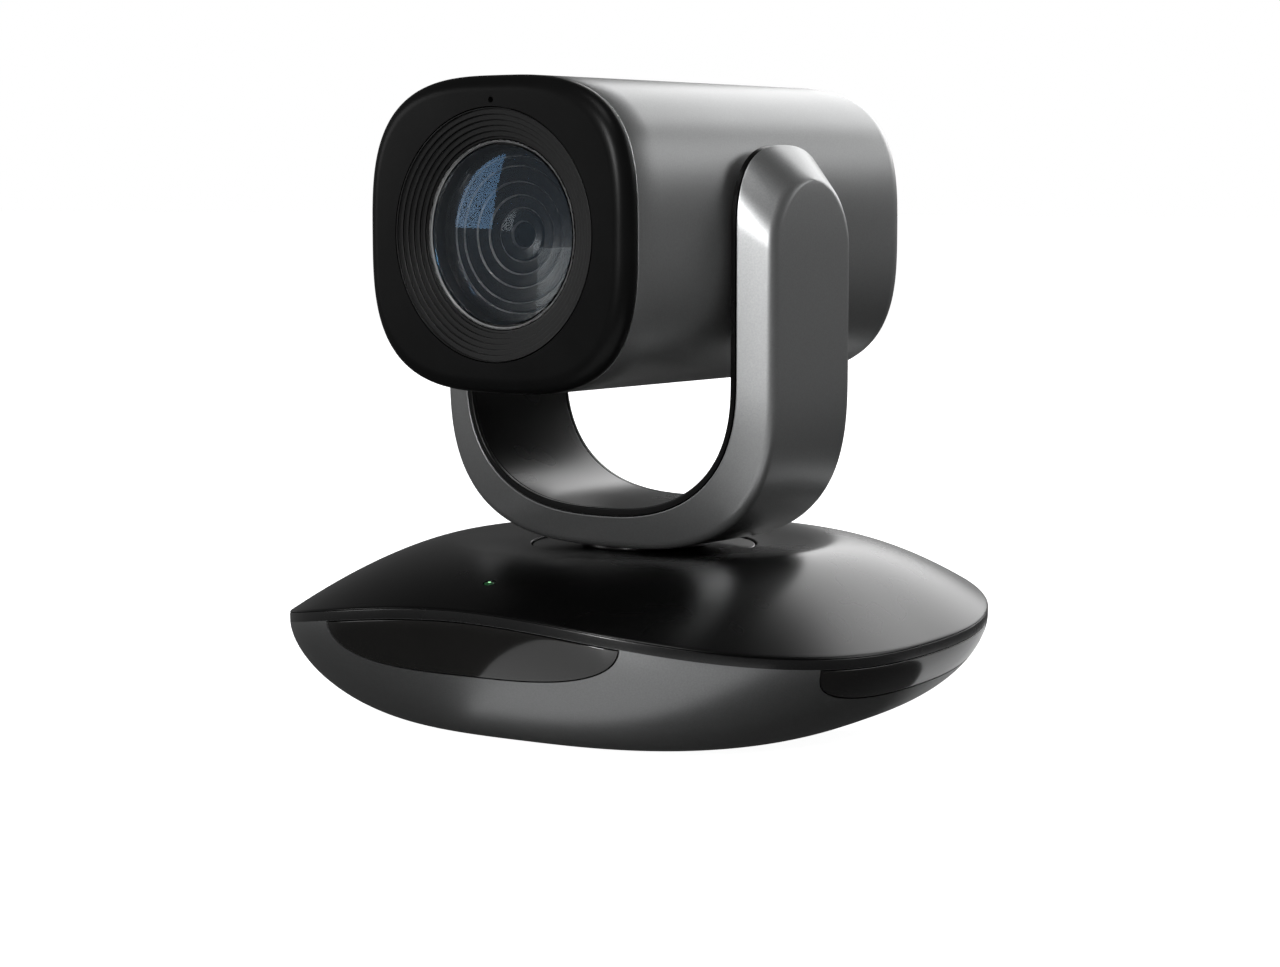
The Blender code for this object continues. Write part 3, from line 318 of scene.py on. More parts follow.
# The base wears the same paint as the yoke and head; its darker shade here is painted shade for the less
# lit bowl.
PAINT_BASE_SHADED = metallic_paint("base_paint_shaded", 0.20, 0.42)
PAINT_YOKE = metallic_paint("yoke_paint", 0.31, 0.39)
PAINT_HEAD = metallic_paint("head_paint", 0.30, 0.40)
GLOSS = black_gloss()
BEZEL = satin_black("bezel_black", 0.0045, 0.30, 0.35, gloss=0.10)
BAFFLE = satin_black("baffle_black", 0.0050, 0.34, 0.40, gloss=0.34)
INNER_BLACK = satin_black("inner_black", 0.0050, 0.38, 0.46)
# The rim band carries the bowl's paint; this near-black satin paints the shade that falls on it.
RIM_BAND_SHADE = satin_black("rim_band_painted_shade", 0.0050, 0.24, 0.30, 1900, 0.06)
PORT_BLACK = satin_black("port_black", 0.0120, 0.40, 0.50)
SMOKED = smoked_plastic()
FRONT_GLASS = coated_glass("front_glass_coated", (0.75, 0.88, 1.0), 0.05)
LENS_GLASS = coated_glass("coated_lens", (0.14, 0.50, 1.0), 1.0)
INNER_GLASS = coated_glass("inner_lens", (0.22, 0.28, 0.32), 0.30)
RING_SATIN = satin_black("lens_ring_satin", 0.010, 0.20, 0.26, 1200, 0.05)
# Light grey on the cells' front chamfers: a painted highlight for the light these black edges catch.
RING_EDGE_HIGHLIGHT = satin_black("lens_ring_edge_highlight", 0.30, 0.22, 0.28, 1200, 0.05)
LIP_SATIN = satin_black("lens_lip_satin", 0.22, 0.22, 0.28, 1200, 0.05, gloss=0.9)
STEEL = metal("steel", (0.50, 0.51, 0.52), (0.58, 0.59, 0.60), 0.32, (1.0, 12.0, 1.0))
BRASS = metal("brass", (0.72, 0.54, 0.24), (0.80, 0.62, 0.30), 0.30, (1.0, 1.0, 14.0))
ALUMINIUM = metal("aluminium", (0.66, 0.66, 0.68), (0.74, 0.74, 0.76), 0.38, (14.0, 1.0, 1.0))
RUBBER = rubber_material()
NYLON = nylon_material()
BOARD = board_material()
LED = led_material()
LED_DIE = led_die_material()


# ---------------------------------------------------------------- mesh tools

def superellipse_radius(angle, half_x, half_y, exponent):
    term = abs(math.cos(angle) / half_x) ** exponent + abs(math.sin(angle) / half_y) ** exponent
    return term ** (-1 / exponent)


def polar_ring(radius, height, count):
    """Points round the Z axis; radius and height are functions of the angle."""
    angles = [2 * math.pi * i / count for i in range(count)]
    return [Vector((radius(a) * math.cos(a), radius(a) * math.sin(a), height(a))) for a in angles]


def circle(radius, height, count, centre=(0.0, 0.0)):
    ring = polar_ring(lambda a: radius, lambda a: height, count)
    return [point + Vector((centre[0], centre[1], 0)) for point in ring]


def loft(rings, closed=False, caps=True):
    """Skin equal rings of points. closed joins the last ring to the first."""
    bm = bmesh.new()
    grid = [[bm.verts.new(point) for point in ring] for ring in rings]
    pairs = list(zip(grid, grid[1:]))
    if closed:
        pairs.append((grid[-1], grid[0]))
    for lower, upper in pairs:
        for i in range(len(lower)):
            j = (i + 1) % len(lower)
            bm.faces.new((lower[i], lower[j], upper[j], upper[i]))
    if caps and not closed:
        bm.faces.new(list(reversed(grid[0])))
        bm.faces.new(grid[-1])
    bmesh.ops.remove_doubles(bm, verts=bm.verts, dist=2e-7)
    bmesh.ops.recalc_face_normals(bm, faces=bm.faces)
    return bm


def rounded(corners, radii, steps=CORNER_STEPS, closed=True):
    """An outline with its corners rounded; a radius of zero keeps a corner sharp."""
    points = []
    last = len(corners) - 1
    for i, corner in enumerate(corners):
        if radii[i] == 0 or (not closed and i in (0, last)):
            points.append(corner)
            continue
        before = corners[i - 1] - corner
        after = corners[(i + 1) % len(corners)] - corner
        start = corner + before * min(radii[i] / max(before.length, 1e-9), 0.45)
        end = corner + after * min(radii[i] / max(after.length, 1e-9), 0.45)
        for k in range(steps + 1):
            t = k / steps
            points.append(start * (1 - t) ** 2 + corner * 2 * t * (1 - t) + end * t ** 2)
    return points


def turned(profile, radii=None, closed=False, count=ROUND_SEGMENTS, centre=(0.0, 0.0), turn=None):
    """Turn a profile of (radius, height) about Z, its corners rounded by radii."""
    outline = [Vector(point) for point in profile]
    if radii is not None:
        sizes = radii if isinstance(radii, (list, tuple)) else [radii] * len(outline)
        outline = rounded(outline, sizes, closed=closed)
    bm = loft([circle(p.x, p.y, count, centre) for p in outline], closed=closed)
    if turn is not None:
        bm.transform(turn)
    return bm


def rod(radius, low, high, centre=(0.0, 0.0), count=48, turn=None):
    return turned([(radius, low), (radius, high)], count=count, centre=centre, turn=turn)


def block(low, high):
    (x0, y0, z0), (x1, y1, z1) = low, high
    corners = ((x0, y0), (x1, y0), (x1, y1), (x0, y1))
    return loft([[Vector((x, y, z)) for x, y in corners] for z in (z0, z1)])


def smooth(mesh, angle=32):
    mesh.shade_smooth()
    mesh.set_sharp_from_angle(angle=math.radians(angle))


def piece(name, bm, material, body, stands_for=(), place=None):
    """A finished piece that rides on a body of the frame."""
    mesh = bpy.data.meshes.new(name)
    bm.to_mesh(mesh)
    bm.free()
    smooth(mesh)
    mesh.materials.append(material)
    made = bpy.data.objects.new(name, mesh)
    bpy.context.scene.collection.objects.link(made)
    if place is not None:
        mesh.transform(place)
    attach(made, body)
    if stands_for:
        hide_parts(*stands_for)
    return made


def cut(bm, *tools):
    """Subtract closed bodies from a bmesh and return the result as a new bmesh."""
    scene = bpy.context.scene.collection
    merged = bmesh.new()
    for tool in tools:
        mesh = bpy.data.meshes.new("tool")
        tool.to_mesh(mesh)
        tool.free()
        merged.from_mesh(mesh)
        bpy.data.meshes.remove(mesh)
    holders = []
    for source in (bm, merged):
        mesh = bpy.data.meshes.new("cutting")
        source.to_mesh(mesh)
        source.free()
        holder = bpy.data.objects.new("cutting", mesh)
        scene.objects.link(holder)
        holders.append(holder)
    body, cutter = holders
    modifier = body.modifiers.new("cut", "BOOLEAN")
    modifier.operation = "DIFFERENCE"
    modifier.solver = "EXACT"
    modifier.object = cutter
    evaluated = body.evaluated_get(bpy.context.evaluated_depsgraph_get())
    result = bpy.data.meshes.new_from_object(evaluated)
    made = bmesh.new()
    made.from_mesh(result)
    for holder in holders:
        mesh = holder.data
        bpy.data.objects.remove(holder)
        bpy.data.meshes.remove(mesh)
    bpy.data.meshes.remove(result)
    return made


# ---------------------------------------------------------------- base shape

def rim_radius(angle):
    return superellipse_radius(angle, BASE_HALF_X, BASE_HALF_Y, BASE_EXPONENT)


def rim_height(angle):
    return RIM_HEIGHT - RIM_WAVE * math.cos(2 * angle) + RIM_WAVE_FINE * math.cos(4 * angle)


def bowl_point(angle, fall, inset=0.0):
    """Radius and height of the bowl's wall, from the rim band (0) to the floor (1)."""
    pull = (1 - fall ** BOWL_EXPONENT) ** (1 / BOWL_EXPONENT)
    radius = (rim_radius(angle) - inset) * (BOWL_FOOT_RATIO + (1 - BOWL_FOOT_RATIO) * pull)
    top = rim_height(angle) - RIM_BAND
    bottom = FOOT_HEIGHT + inset
    return radius, top + (bottom - top) * fall


def bowl_ring(fall, inset=0.0):
    return polar_ring(lambda a: bowl_point(a, fall, inset)[0],
                      lambda a: bowl_point(a, fall, inset)[1], BASE_SEGMENTS)


def rim_ring(inset, rise):
    return polar_ring(lambda a: rim_radius(a) - inset, lambda a: rim_height(a) + rise, BASE_SEGMENTS)


def cover_height(angle, radius):
    outward = max(0.0, (radius - PLATEAU_RADIUS) / (rim_radius(angle) - PLATEAU_RADIUS))
    return PLATEAU_HEIGHT - (PLATEAU_HEIGHT - rim_height(angle) - GAP) * outward ** COVER_EXPONENT


def cover_ring(share, drop=0.0, inset=0.0):
    """A ring on the cover, from the plateau's edge (0) to the rim (1)."""
    def radius(a):
        return PLATEAU_RADIUS + (rim_radius(a) - inset - PLATEAU_RADIUS) * share
    return polar_ring(radius, lambda a: cover_height(a, radius(a)) - drop, BASE_SEGMENTS)


def window_patch(window, margin, outward, inward, edge_round, columns=96, rows=12):
    """A patch of the bowl's wall with a window's outline, as a closed solid."""
    heading, half_angle, depth, exponent = window
    top = 0.7 * MM - margin
    rings = []
    for i in range(columns + 1):
        across = 0.9985 * math.sin(math.pi / 2 * (2 * i / columns - 1))
        angle = heading + (half_angle + margin / BASE_HALF_X) * across
        reach = max((depth + margin) * (1 - abs(across) ** exponent) ** (1 / exponent), top + 0.4 * MM)
        height_span = rim_height(angle) - RIM_BAND - FOOT_HEIGHT
        column = []
        for j in range(rows + 1):
            fall = (top + (reach - top) * j / rows) / height_span
            column.append(bowl_point(angle, fall))
        dip = edge_round * (1 - min(1.0, 12 * (1 - abs(across))))
        corners = [Vector((r + outward - dip, z)) for r, z in column]
        corners += [Vector((r - inward, z)) for r, z in reversed(column)]
        radii = [0.0] * len(corners)
        radii[0] = radii[rows] = edge_round
        outline = rounded(corners, radii)
        rings.append([Vector((p.x * math.cos(angle), p.x * math.sin(angle), p.y)) for p in outline])
    return loft(rings)


# ---------------------------------------------------------------- base pieces

def grown(box, margin):
    low, high = box
    return tuple(v - margin for v in low), tuple(v + margin for v in high)


def band_fall(angle):
    """Where the dark rim band, painted shade over the bowl's paint, ends on the bowl: just above the
    windows.
    """
    return BAND_REACH / (rim_height(angle) - RIM_BAND - FOOT_HEIGHT)


def make_bottom_shell():
    falls = [1 - (1 - i / 44) ** 1.6 for i in range(45)]
    outer = [bowl_ring(f) for f in reversed(falls)]
    outer.insert(-1, polar_ring(lambda a: bowl_point(a, band_fall(a))[0],
                                lambda a: bowl_point(a, band_fall(a))[1], BASE_SEGMENTS))
    top_round = 0.35 * MM
    lip = []
    for k in range(CORNER_STEPS + 1):
        turn = math.pi / 2 * k / CORNER_STEPS
        lip.append(rim_ring(top_round * (1 - math.cos(turn)), top_round * (math.sin(turn) - 1)))
    inner_falls = (0.0, 0.1, 0.25, 0.4, 0.55, 0.7, 0.82, 0.92, 1.0)
    inner = [rim_ring(BASE_WALL, 0.0)] + [bowl_ring(f, BASE_WALL) for f in inner_falls]
    tools = [window_patch(window, GAP, 3 * MM, 5 * MM, 0.0) for window in WINDOWS.values()]
    tools.append(block(*grown(PORT_POCKET, GAP)))
    below, above = -1 * MM, 6 * MM
    tools += [rod(FOOT_RECESS[0], below, FOOT_RECESS[1], centre=spot, count=96) for spot in FEET]
    tools += [rod(SCREW_RECESS[0], below, SCREW_RECESS[1], centre=spot, count=64) for spot in SCREWS]
    shell = cut(loft(outer + lip + inner), *tools)
    holes = [rod(SCREW_HOLE_RADIUS, below, above, centre=spot) for spot in SCREWS]
    shell = cut(shell, rod(INSERT_HOLE_RADIUS, below, above, count=96), *holes)
    made = piece("base_bottom_shell_fine", shell, PAINT_BASE_SHADED, "base", ["base_bottom_shell"])
    made.data.materials.append(RIM_BAND_SHADE)
    # Faces of the rim band take the near-black finish: painted shade on the bowl's paint.
    for face in made.data.polygons:
        x, y, z = face.center
        angle = math.atan2(y, x)
        outside = math.hypot(x, y) > rim_radius(angle) - BASE_WALL / 2
        if outside and z > rim_height(angle) - RIM_BAND - BAND_REACH:
            face.material_index = 1


def make_top_cover():
    hole = DISC_RADIUS + 0.4 * MM
    edge = 0.5 * MM
    surface = [cover_ring(1.0, drop=edge * 0.5)]
    for k in range(1, CORNER_STEPS + 1):
        turn = math.pi / 2 * k / CORNER_STEPS
        drop = edge * 0.5 * (1 - math.sin(turn))
        surface.append(cover_ring(1.0, drop=drop, inset=edge * (1 - math.cos(turn))))
    surface += [cover_ring(1 - i / 40) for i in range(1, 41)]
    lip = DISC_TOP + 0.35 * MM
    dish_steps = 24
    dish_profile = []
    for i in range(dish_steps + 1):
        share = 1 - i / dish_steps
        blend = share * share * (3 - 2 * share)
        radius = hole + (PLATEAU_RADIUS - hole) * share
        dish_profile.append((radius, lip + (PLATEAU_HEIGHT - lip) * blend))
    dish_profile.append((hole, DISC_TOP - 2.4 * MM))
    dish_profile.append((PLATEAU_RADIUS - 2 * MM, PLATEAU_HEIGHT - COVER_WALL - 0.4 * MM))
    corner_radii = [0.0] * dish_steps + [0.3 * MM, 0.0, 0.0]
    outline = rounded([Vector(point) for point in dish_profile], corner_radii, closed=False)
    dish = [circle(p.x, p.y, BASE_SEGMENTS) for p in outline]
    shares = (0.2, 0.4, 0.6, 0.8, 1.0)
    underside = [cover_ring(s, drop=COVER_WALL, inset=COVER_UNDERSIDE_INSET) for s in shares]
    skirt = [rim_ring(inset, rise) for inset, rise in COVER_SKIRT]
    cover = loft(surface + dish + underside + skirt, closed=True)
    cover = cut(cover, rod(LED_HOLE_RADIUS, 30 * MM, 60 * MM, centre=LED_SPOT, count=64))
    piece("base_top_cover_fine", cover, GLOSS, "base", ["base_top_cover"])


def make_windows():
    for name, window in WINDOWS.items():
        patch = window_patch(window, 0.0, 0.0, WINDOW_THICKNESS, 0.22 * MM)
        piece(name + "_fine", patch, SMOKED, "base", [name])


def make_status_led():
    top = cover_height(math.radians(-90), abs(LED_SPOT[1])) + 0.1 * MM
    shoulder = top - LED_DOME
    profile = [(LED_RADIUS, 36 * MM), (LED_RADIUS, shoulder)]
    steps = 6
    for k in range(1, steps):
        turn = math.pi / 2 * k / steps
        profile.append((LED_RADIUS * math.cos(turn), shoulder + LED_DOME * math.sin(turn)))
    light_pipe = turned(profile, centre=LED_SPOT, count=48)
    piece("status_led_fine", light_pipe, LED, "base", ["status_led"])
    profile = [(LED_DIE_RADIUS, top - 0.3 * MM), (LED_DIE_RADIUS, top + 0.04 * MM)]
    die = turned(profile, [0.0, 0.05 * MM], centre=LED_SPOT, count=32)
    piece("status_led_die", die, LED_DIE, "base", ["status_led"])


def make_underside():
    """Rubber feet with a moulded ring, and countersunk cross-head screws."""
    profile = [(2.2 * MM, 0.25 * MM), (3.6 * MM, 0.0), (5.5 * MM, 0.0),
               (6.0 * MM, 0.5 * MM), (6.0 * MM, 2.3 * MM)]
    for number, spot in enumerate(FEET, 1):
        foot = turned(profile, [0.0, 0.3 * MM, 0.5 * MM, 0.4 * MM, 0.0], centre=spot)
        piece(f"rubber_foot_{number}_fine", foot, RUBBER, "base", [f"rubber_foot_{number}"])
    profile = [(2.5 * MM, 0.6 * MM), (2.8 * MM, 0.9 * MM), (2.8 * MM, 2.1 * MM),
               (1.5 * MM, 2.11 * MM), (1.5 * MM, 8 * MM)]
    for number, spot in enumerate(SCREWS, 1):
        screw = turned(profile, [0.15 * MM, 0.15 * MM, 0.2 * MM, 0.0, 0.0], centre=spot, count=64)
        screw = cut(screw, *cross_slot(spot[0], spot[1], 0.0, 1.6 * MM, 3.2 * MM))
        piece(f"base_screw_{number}_fine", screw, STEEL, "base", [f"base_screw_{number}"])
    low, high = INSERT_ENDS
    profile = [(INSERT_BORE, low), (INSERT_RADIUS, low), (INSERT_RADIUS, high), (INSERT_BORE, high)]
    profile += threads(INSERT_BORE, 10.3 * MM, 2.2 * MM, THREAD_PITCH)
    insert = turned(profile, closed=True, count=96)
    piece("tripod_insert_fine", insert, BRASS, "base", ["tripod_insert"])


def threads(radius, start, end, pitch):
    """Ridges of an inside thread, as a profile that runs from start down to end."""
    points = []
    count = int((start - end) / pitch)
    for i in range(count):
        top = start - i * pitch
        points += [(radius, top), (radius + THREAD_DEPTH, top - pitch * 0.5)]
    return points


def cross_slot(x, y, low, high, length):
    """A cross recess as three bars that don't overlap; near is a hair past the long bar's side."""
    half, width = length / 2, 0.35 * MM
    near = width * 1.0001
    return [block((x - half, y - width, low), (x + half, y + width, high)),
            block((x - width, y - half, low), (x + width, y - near, high)),
            block((x - width, y + near, low), (x + width, y + half, high))]


# ---------------------------------------------------------------- yoke

def u_stations(bend, tip, inset=0.0):
    """(x, z, half depth) along a U strip, from the right arm's tip to the left's."""
    half_x, centre_z, drop, exponent = bend
    half_y, spring, rise, tip_exponent = tip
    half_x, drop, half_y, rise = half_x - inset, drop - inset, half_y - inset, rise - inset
    spring_z = TILT_AXIS_HEIGHT + spring
    arm = []
    for i in range(ARCH_STEPS):
        turn = math.pi / 2 * (1 - i / ARCH_STEPS)
        width = half_y * max(0.0, math.cos(turn)) ** (2 / tip_exponent) if i else 0.0
        arm.append((half_x, spring_z + rise * math.sin(turn) ** (2 / tip_exponent), width))
    for i in range(STRAIGHT_STEPS):
        arm.append((half_x, spring_z + (centre_z - spring_z) * i / STRAIGHT_STEPS, half_y))
    middle = []
    for i in range(BEND_STEPS + 1):
        turn = math.pi * i / BEND_STEPS
        x = math.copysign(abs(math.cos(turn)) ** (2 / exponent), math.cos(turn)) * half_x
        middle.append((x, centre_z - abs(math.sin(turn)) ** (2 / exponent) * drop, half_y))
    left = [(-x, z, w) for x, z, w in reversed(arm)]
    return arm + middle + left


def u_strip(surfaces):
    """Sweep a section whose corners lie on the given (stations, side, corner radius) surfaces."""
    rings = []
    radii = [radius for _, _, radius in surfaces]
    for rows in zip(*[stations for stations, _, _ in surfaces]):
        corners = [Vector((x, side * w, z)) for (x, z, w), (_, side, _) in zip(rows, surfaces)]
        rings.append(rounded(corners, radii))
    return loft(rings, caps=False)


def mixed(first, second, share):
    """Stations part of the way from one surface to another."""
    return [tuple(a + (b - a) * share for a, b in zip(p, q)) for p, q in zip(first, second)]


def make_yoke_outer():
    outer = u_stations(YOKE_OUTER, OUTER_TIP)
    cavity = u_stations(YOKE_OUTER, OUTER_TIP, YOKE_WALL)
    edge = u_stations(YOKE_EDGE, EDGE_TIP)
    rim_tip = tuple(v - YOKE_WALL if i in (0, 2) else v for i, v in enumerate(EDGE_TIP))
    rim = u_stations(YOKE_EDGE, rim_tip)
    shoulder = mixed(edge, outer, 0.10)
    section = []
    for side in (1, -1):
        half = [(outer, side, 2.2 * MM), (shoulder, side, 0.5 * MM), (edge, side, 0.3 * MM),
                (rim, side, 0.0), (cavity, side, 0.0)]
        section += half if side == 1 else list(reversed(half))
    cover = u_strip(section)
    cover = cut(cover, rod(YOKE_NECK_HOLE, 40 * MM, 50 * MM, count=96))
    piece("yoke_outer_cover_fine", cover, PAINT_YOKE, "yoke", ["yoke_outer_cover"], PANNED)


def make_yoke_inner():
    """The black lining of the U: an edge band, a light chamfer, a groove and the crown inside it."""
    edge = u_stations(YOKE_EDGE, EDGE_TIP)
    back = [(x, z, w) for (x, z, _), (_, _, w) in zip(u_stations(YOKE_EDGE, EDGE_TIP, GAP), edge)]
    front = u_stations(YOKE_INNER, EDGE_TIP)
    tip_half, tip_spring, tip_rise, tip_exponent = EDGE_TIP
    rim_tip = (tip_half - LINER_RIM, tip_spring, tip_rise - LINER_RIM, tip_exponent)
    narrower = u_stations(YOKE_INNER, rim_tip)
    groove_floor = mixed(narrower, back, 0.45)
    crown_tip = (tip_half - LINER_GROOVE, tip_spring, tip_rise - LINER_GROOVE, tip_exponent)
    inside = u_stations(YOKE_INNER, crown_tip)
    section = [(back, -1, 0.0), (back, 1, 0.0), (front, 1, 0.32 * MM), (narrower, 1, 0.06 * MM),
               (groove_floor, 1, 0.0), (inside, 1, 0.12 * MM), (inside, -1, 0.12 * MM),
               (groove_floor, -1, 0.0), (narrower, -1, 0.06 * MM), (front, -1, 0.32 * MM)]
    liner = u_strip(section)
    axle = Matrix.Translation((0, 0, TILT_AXIS_HEIGHT)) @ ALONG_X
    liner = cut(liner, rod(AXLE_HOLE_RADIUS, -60 * MM, 60 * MM, turn=axle, count=96))
    piece("yoke_inner_cover_fine", liner, GLOSS, "yoke", ["yoke_inner_cover"], PANNED)


def make_turntable():
    profile = [(DISC_RADIUS, DISC_TOP - DISC_THICKNESS), (DISC_RADIUS, DISC_TOP), (NECK_RADIUS, DISC_TOP),
               (NECK_RADIUS, NECK_TOP), (6 * MM, NECK_TOP), (6 * MM, DISC_TOP - DISC_THICKNESS)]
    radii = [0.0, 0.35 * MM, 0.8 * MM, 0.3 * MM, 0.0, 0.0]
    disc = turned(profile, radii, closed=True, count=256)
    piece("turntable_disc_fine", disc, GLOSS, "yoke", ["turntable_disc"], PANNED)


# ---------------------------------------------------------------- head

def head_ring(y, inset):
    def radius(a):
        return superellipse_radius(a, HEAD_HALF_WIDTH - inset, HEAD_HALF_HEIGHT - inset, HEAD_EXPONENT)
    return [Vector((p.x, y, p.y)) for p in polar_ring(radius, lambda a: 0.0, HEAD_SEGMENTS)]


def head_circle(y, radius):
    return [Vector((p.x, y, p.y)) for p in circle(radius, 0.0, HEAD_SEGMENTS)]


def rear_round(turn):
    """(y, inset) on the rounded rear edge, from the side (0) to the back (90 degrees)."""
    return HEAD_REAR - HEAD_REAR_ROUND * (1 - math.sin(turn)), HEAD_REAR_ROUND * (1 - math.cos(turn))


def make_head_shell():
    seam_turn = math.radians(40)
    edge = 0.25 * MM
    outside = [(HEAD_SEAM, edge), (HEAD_SEAM + edge * 0.3, edge * 0.3), (HEAD_SEAM + edge, 0.0)]
    flat_end = HEAD_REAR - HEAD_REAR_ROUND
    outside += [(HEAD_SEAM + (flat_end - HEAD_SEAM) * i / 12, 0.0) for i in range(1, 12)]
    outside += [rear_round(seam_turn * i / 14) for i in range(15)]
    last_y, last_inset = outside[-1]
    outside += [(last_y + 0.02 * MM, last_inset + 0.2 * MM)]
    inside = [(last_y, 4.5 * MM), (54 * MM, 4.5 * MM), (50 * MM, HEAD_WALL), (HEAD_SEAM, HEAD_WALL)]
    shell = loft([head_ring(y, d) for y, d in outside + inside], closed=True)
    shell = cut(shell, rod(SIDE_HOLE_RADIUS, -60 * MM, 60 * MM, turn=ALONG_X, count=96))
    piece("head_shell_fine", shell, PAINT_HEAD, "head", ["head_shell"], HEAD_PLACE)


def make_rear_cover():
    start = math.radians(43)
    edge = [rear_round(start + (math.pi / 2 - start) * i / 20) for i in range(21)]
    sunk = HEAD_REAR - 0.5 * MM
    inner_rim = [(HEAD_REAR, 11.5 * MM), (sunk, 12.2 * MM), (sunk, 18 * MM)]
    plug = [(edge[0][0], 5.0 * MM), (REAR_PLUG, 5.0 * MM), (REAR_PLUG, 6.6 * MM), (58.0 * MM, 6.6 * MM)]
    rings = [head_ring(y, d) for y, d in list(reversed(inner_rim)) + list(reversed(edge)) + plug]
    panel = loft(rings)
    places = [Matrix.Translation((x, 0, z)) @ ALONG_Y for x, z in REAR_SCREWS]
    profile = [(1.5 * MM, 50 * MM), (1.5 * MM, 59.4 * MM), (2.6 * MM, 59.41 * MM), (2.6 * MM, 70 * MM)]
    wells = [turned(profile, count=64, turn=place) for place in places]
    panel = cut(panel, *wells)
    piece("rear_cover_fine", panel, INNER_BLACK, "head", ["rear_cover"], HEAD_PLACE)
    profile = [(1.2 * MM, 44 * MM), (1.2 * MM, 59.69 * MM), (2.2 * MM, 59.7 * MM),
               (2.2 * MM, 60.2 * MM), (1.7 * MM, 60.45 * MM)]
    for number, place in enumerate(places, 1):
        screw = turned(profile, [0.0, 0.0, 0.0, 0.2 * MM, 0.1 * MM], count=64)
        screw = cut(screw, *cross_slot(0.0, 0.0, 59.8 * MM, 61 * MM, 2.6 * MM))
        piece(f"rear_screw_{number}_fine", screw, STEEL, "head", [f"rear_screw_{number}"],
              HEAD_PLACE @ place)


def make_bezel():
    seam = HEAD_SEAM - GAP
    side = [(seam, 0.25 * MM), (seam - 0.07 * MM, 0.07 * MM), (seam - 0.25 * MM, 0.0)]
    dome_steps, dome_depth = 18, BEZEL_ROUND * 0.95
    for i in range(dome_steps + 1):
        turn = math.pi / 2 * i / dome_steps
        side.append((HEAD_FRONT + dome_depth * (1 - math.sin(turn)), BEZEL_ROUND * (1 - math.cos(turn))))
    bore = FUNNEL_RADIUS + 0.15 * MM
    face = [(HEAD_FRONT, bore), (FACE_BACK, bore), (FACE_BACK, bore + 2 * MM)]
    back = [(FACE_BACK + 0.8 * MM, 4.6 * MM), (BEZEL_REAR, 4.2 * MM),
            (BEZEL_REAR, 2.4 * MM), (seam, 2.4 * MM)]
    rings = [head_ring(y, inset) for y, inset in side]
    rings += [head_circle(y, radius) for y, radius in face]
    rings += [head_ring(y, inset) for y, inset in back]
    bezel = loft(rings, closed=True)
    x, z = MICROPHONE
    place = Matrix.Translation((x, 0, z)) @ ALONG_Y
    bezel = cut(bezel, rod(MICROPHONE_HOLE, -70 * MM, -50 * MM, turn=place))
    piece("front_bezel_fine", bezel, BEZEL, "head", ["front_bezel"], HEAD_PLACE)


def make_baffle():
    """The stepped ring between the bezel and the lens window."""
    tread = (FUNNEL_RADIUS - LENS_RADIUS - 0.5 * MM) / FUNNEL_STEPS
    riser = (LENS_WINDOW_Y - HEAD_FRONT) / FUNNEL_STEPS
    profile, radii = [], []
    for i in range(FUNNEL_STEPS + 1):
        radius = FUNNEL_RADIUS - 0.4 * MM - tread * i
        profile.append((radius, HEAD_FRONT + riser * i))
        radii.append(0.16 * MM)
        if i < FUNNEL_STEPS:
            profile.append((radius, HEAD_FRONT + riser * (i + 1)))
            radii.append(0.05 * MM)
    outer = FUNNEL_RADIUS - 0.15 * MM
    lip = profile[-1][1]
    step = FACE_BACK + GAP
    profile += [(LENS_RADIUS + LIP_CHAMFER, lip), (LENS_RADIUS, lip + LIP_CHAMFER),
                (LENS_RADIUS, BAFFLE_REAR), (BAFFLE_FLANGE, BAFFLE_REAR),
                (BAFFLE_FLANGE, step), (outer, step), (outer, HEAD_FRONT)]
    radii += [0.0, 0.0, 0.0, 0.0, 0.0, 0.0, 0.1 * MM]
    ring = turned(profile, radii, closed=True, count=HEAD_SEGMENTS, turn=ALONG_Y)
    sliver = 0.01 * MM
    mark_faces(ring, LENS_RADIUS + sliver, LENS_RADIUS + LIP_CHAMFER - sliver, lip + LIP_CHAMFER)
    made = piece("baffle_ring_fine", ring, BAFFLE, "head", ["baffle_ring"], HEAD_PLACE)
    made.data.materials.append(LIP_SATIN)


def lens_disc(radius, front, rear, front_crown, rear_crown, steps=14):
    """A lens element: two spherical faces (crown heights; negative is hollow) and a ground edge."""
    profile = []
    for i in range(steps):
        share = i / steps
        profile.append((radius * max(share, 0.002), rear + rear_crown * (1 - share ** 2)))
    profile += [(radius, rear), (radius, front)]
    for i in range(steps - 1, -1, -1):
        share = i / steps
        profile.append((radius * max(share, 0.002), front - front_crown * (1 - share ** 2)))
    return turned(profile, turn=ALONG_Y, count=HEAD_SEGMENTS)


def cell_ring(outer, inner, front, rear, chamfer):
    """A black lens cell: a tube whose front edge is cut back round the glass."""
    profile = [(outer, front), (outer, rear), (inner, rear),
               (inner, front + chamfer), (inner + chamfer, front)]
    radii = [0.1 * MM, 0.0, 0.0, 0.1 * MM, 0.15 * MM]
    return turned(profile, radii, closed=True, turn=ALONG_Y, count=HEAD_SEGMENTS)


def mark_faces(bm, inner, outer, rear):
    """Give the second material to the faces of a chamfer round the lens axis."""
    for face in bm.faces:
        middle = face.calc_center_median()
        if inner < math.hypot(middle.x, middle.z) < outer and middle.y < rear:
            face.material_index = 1


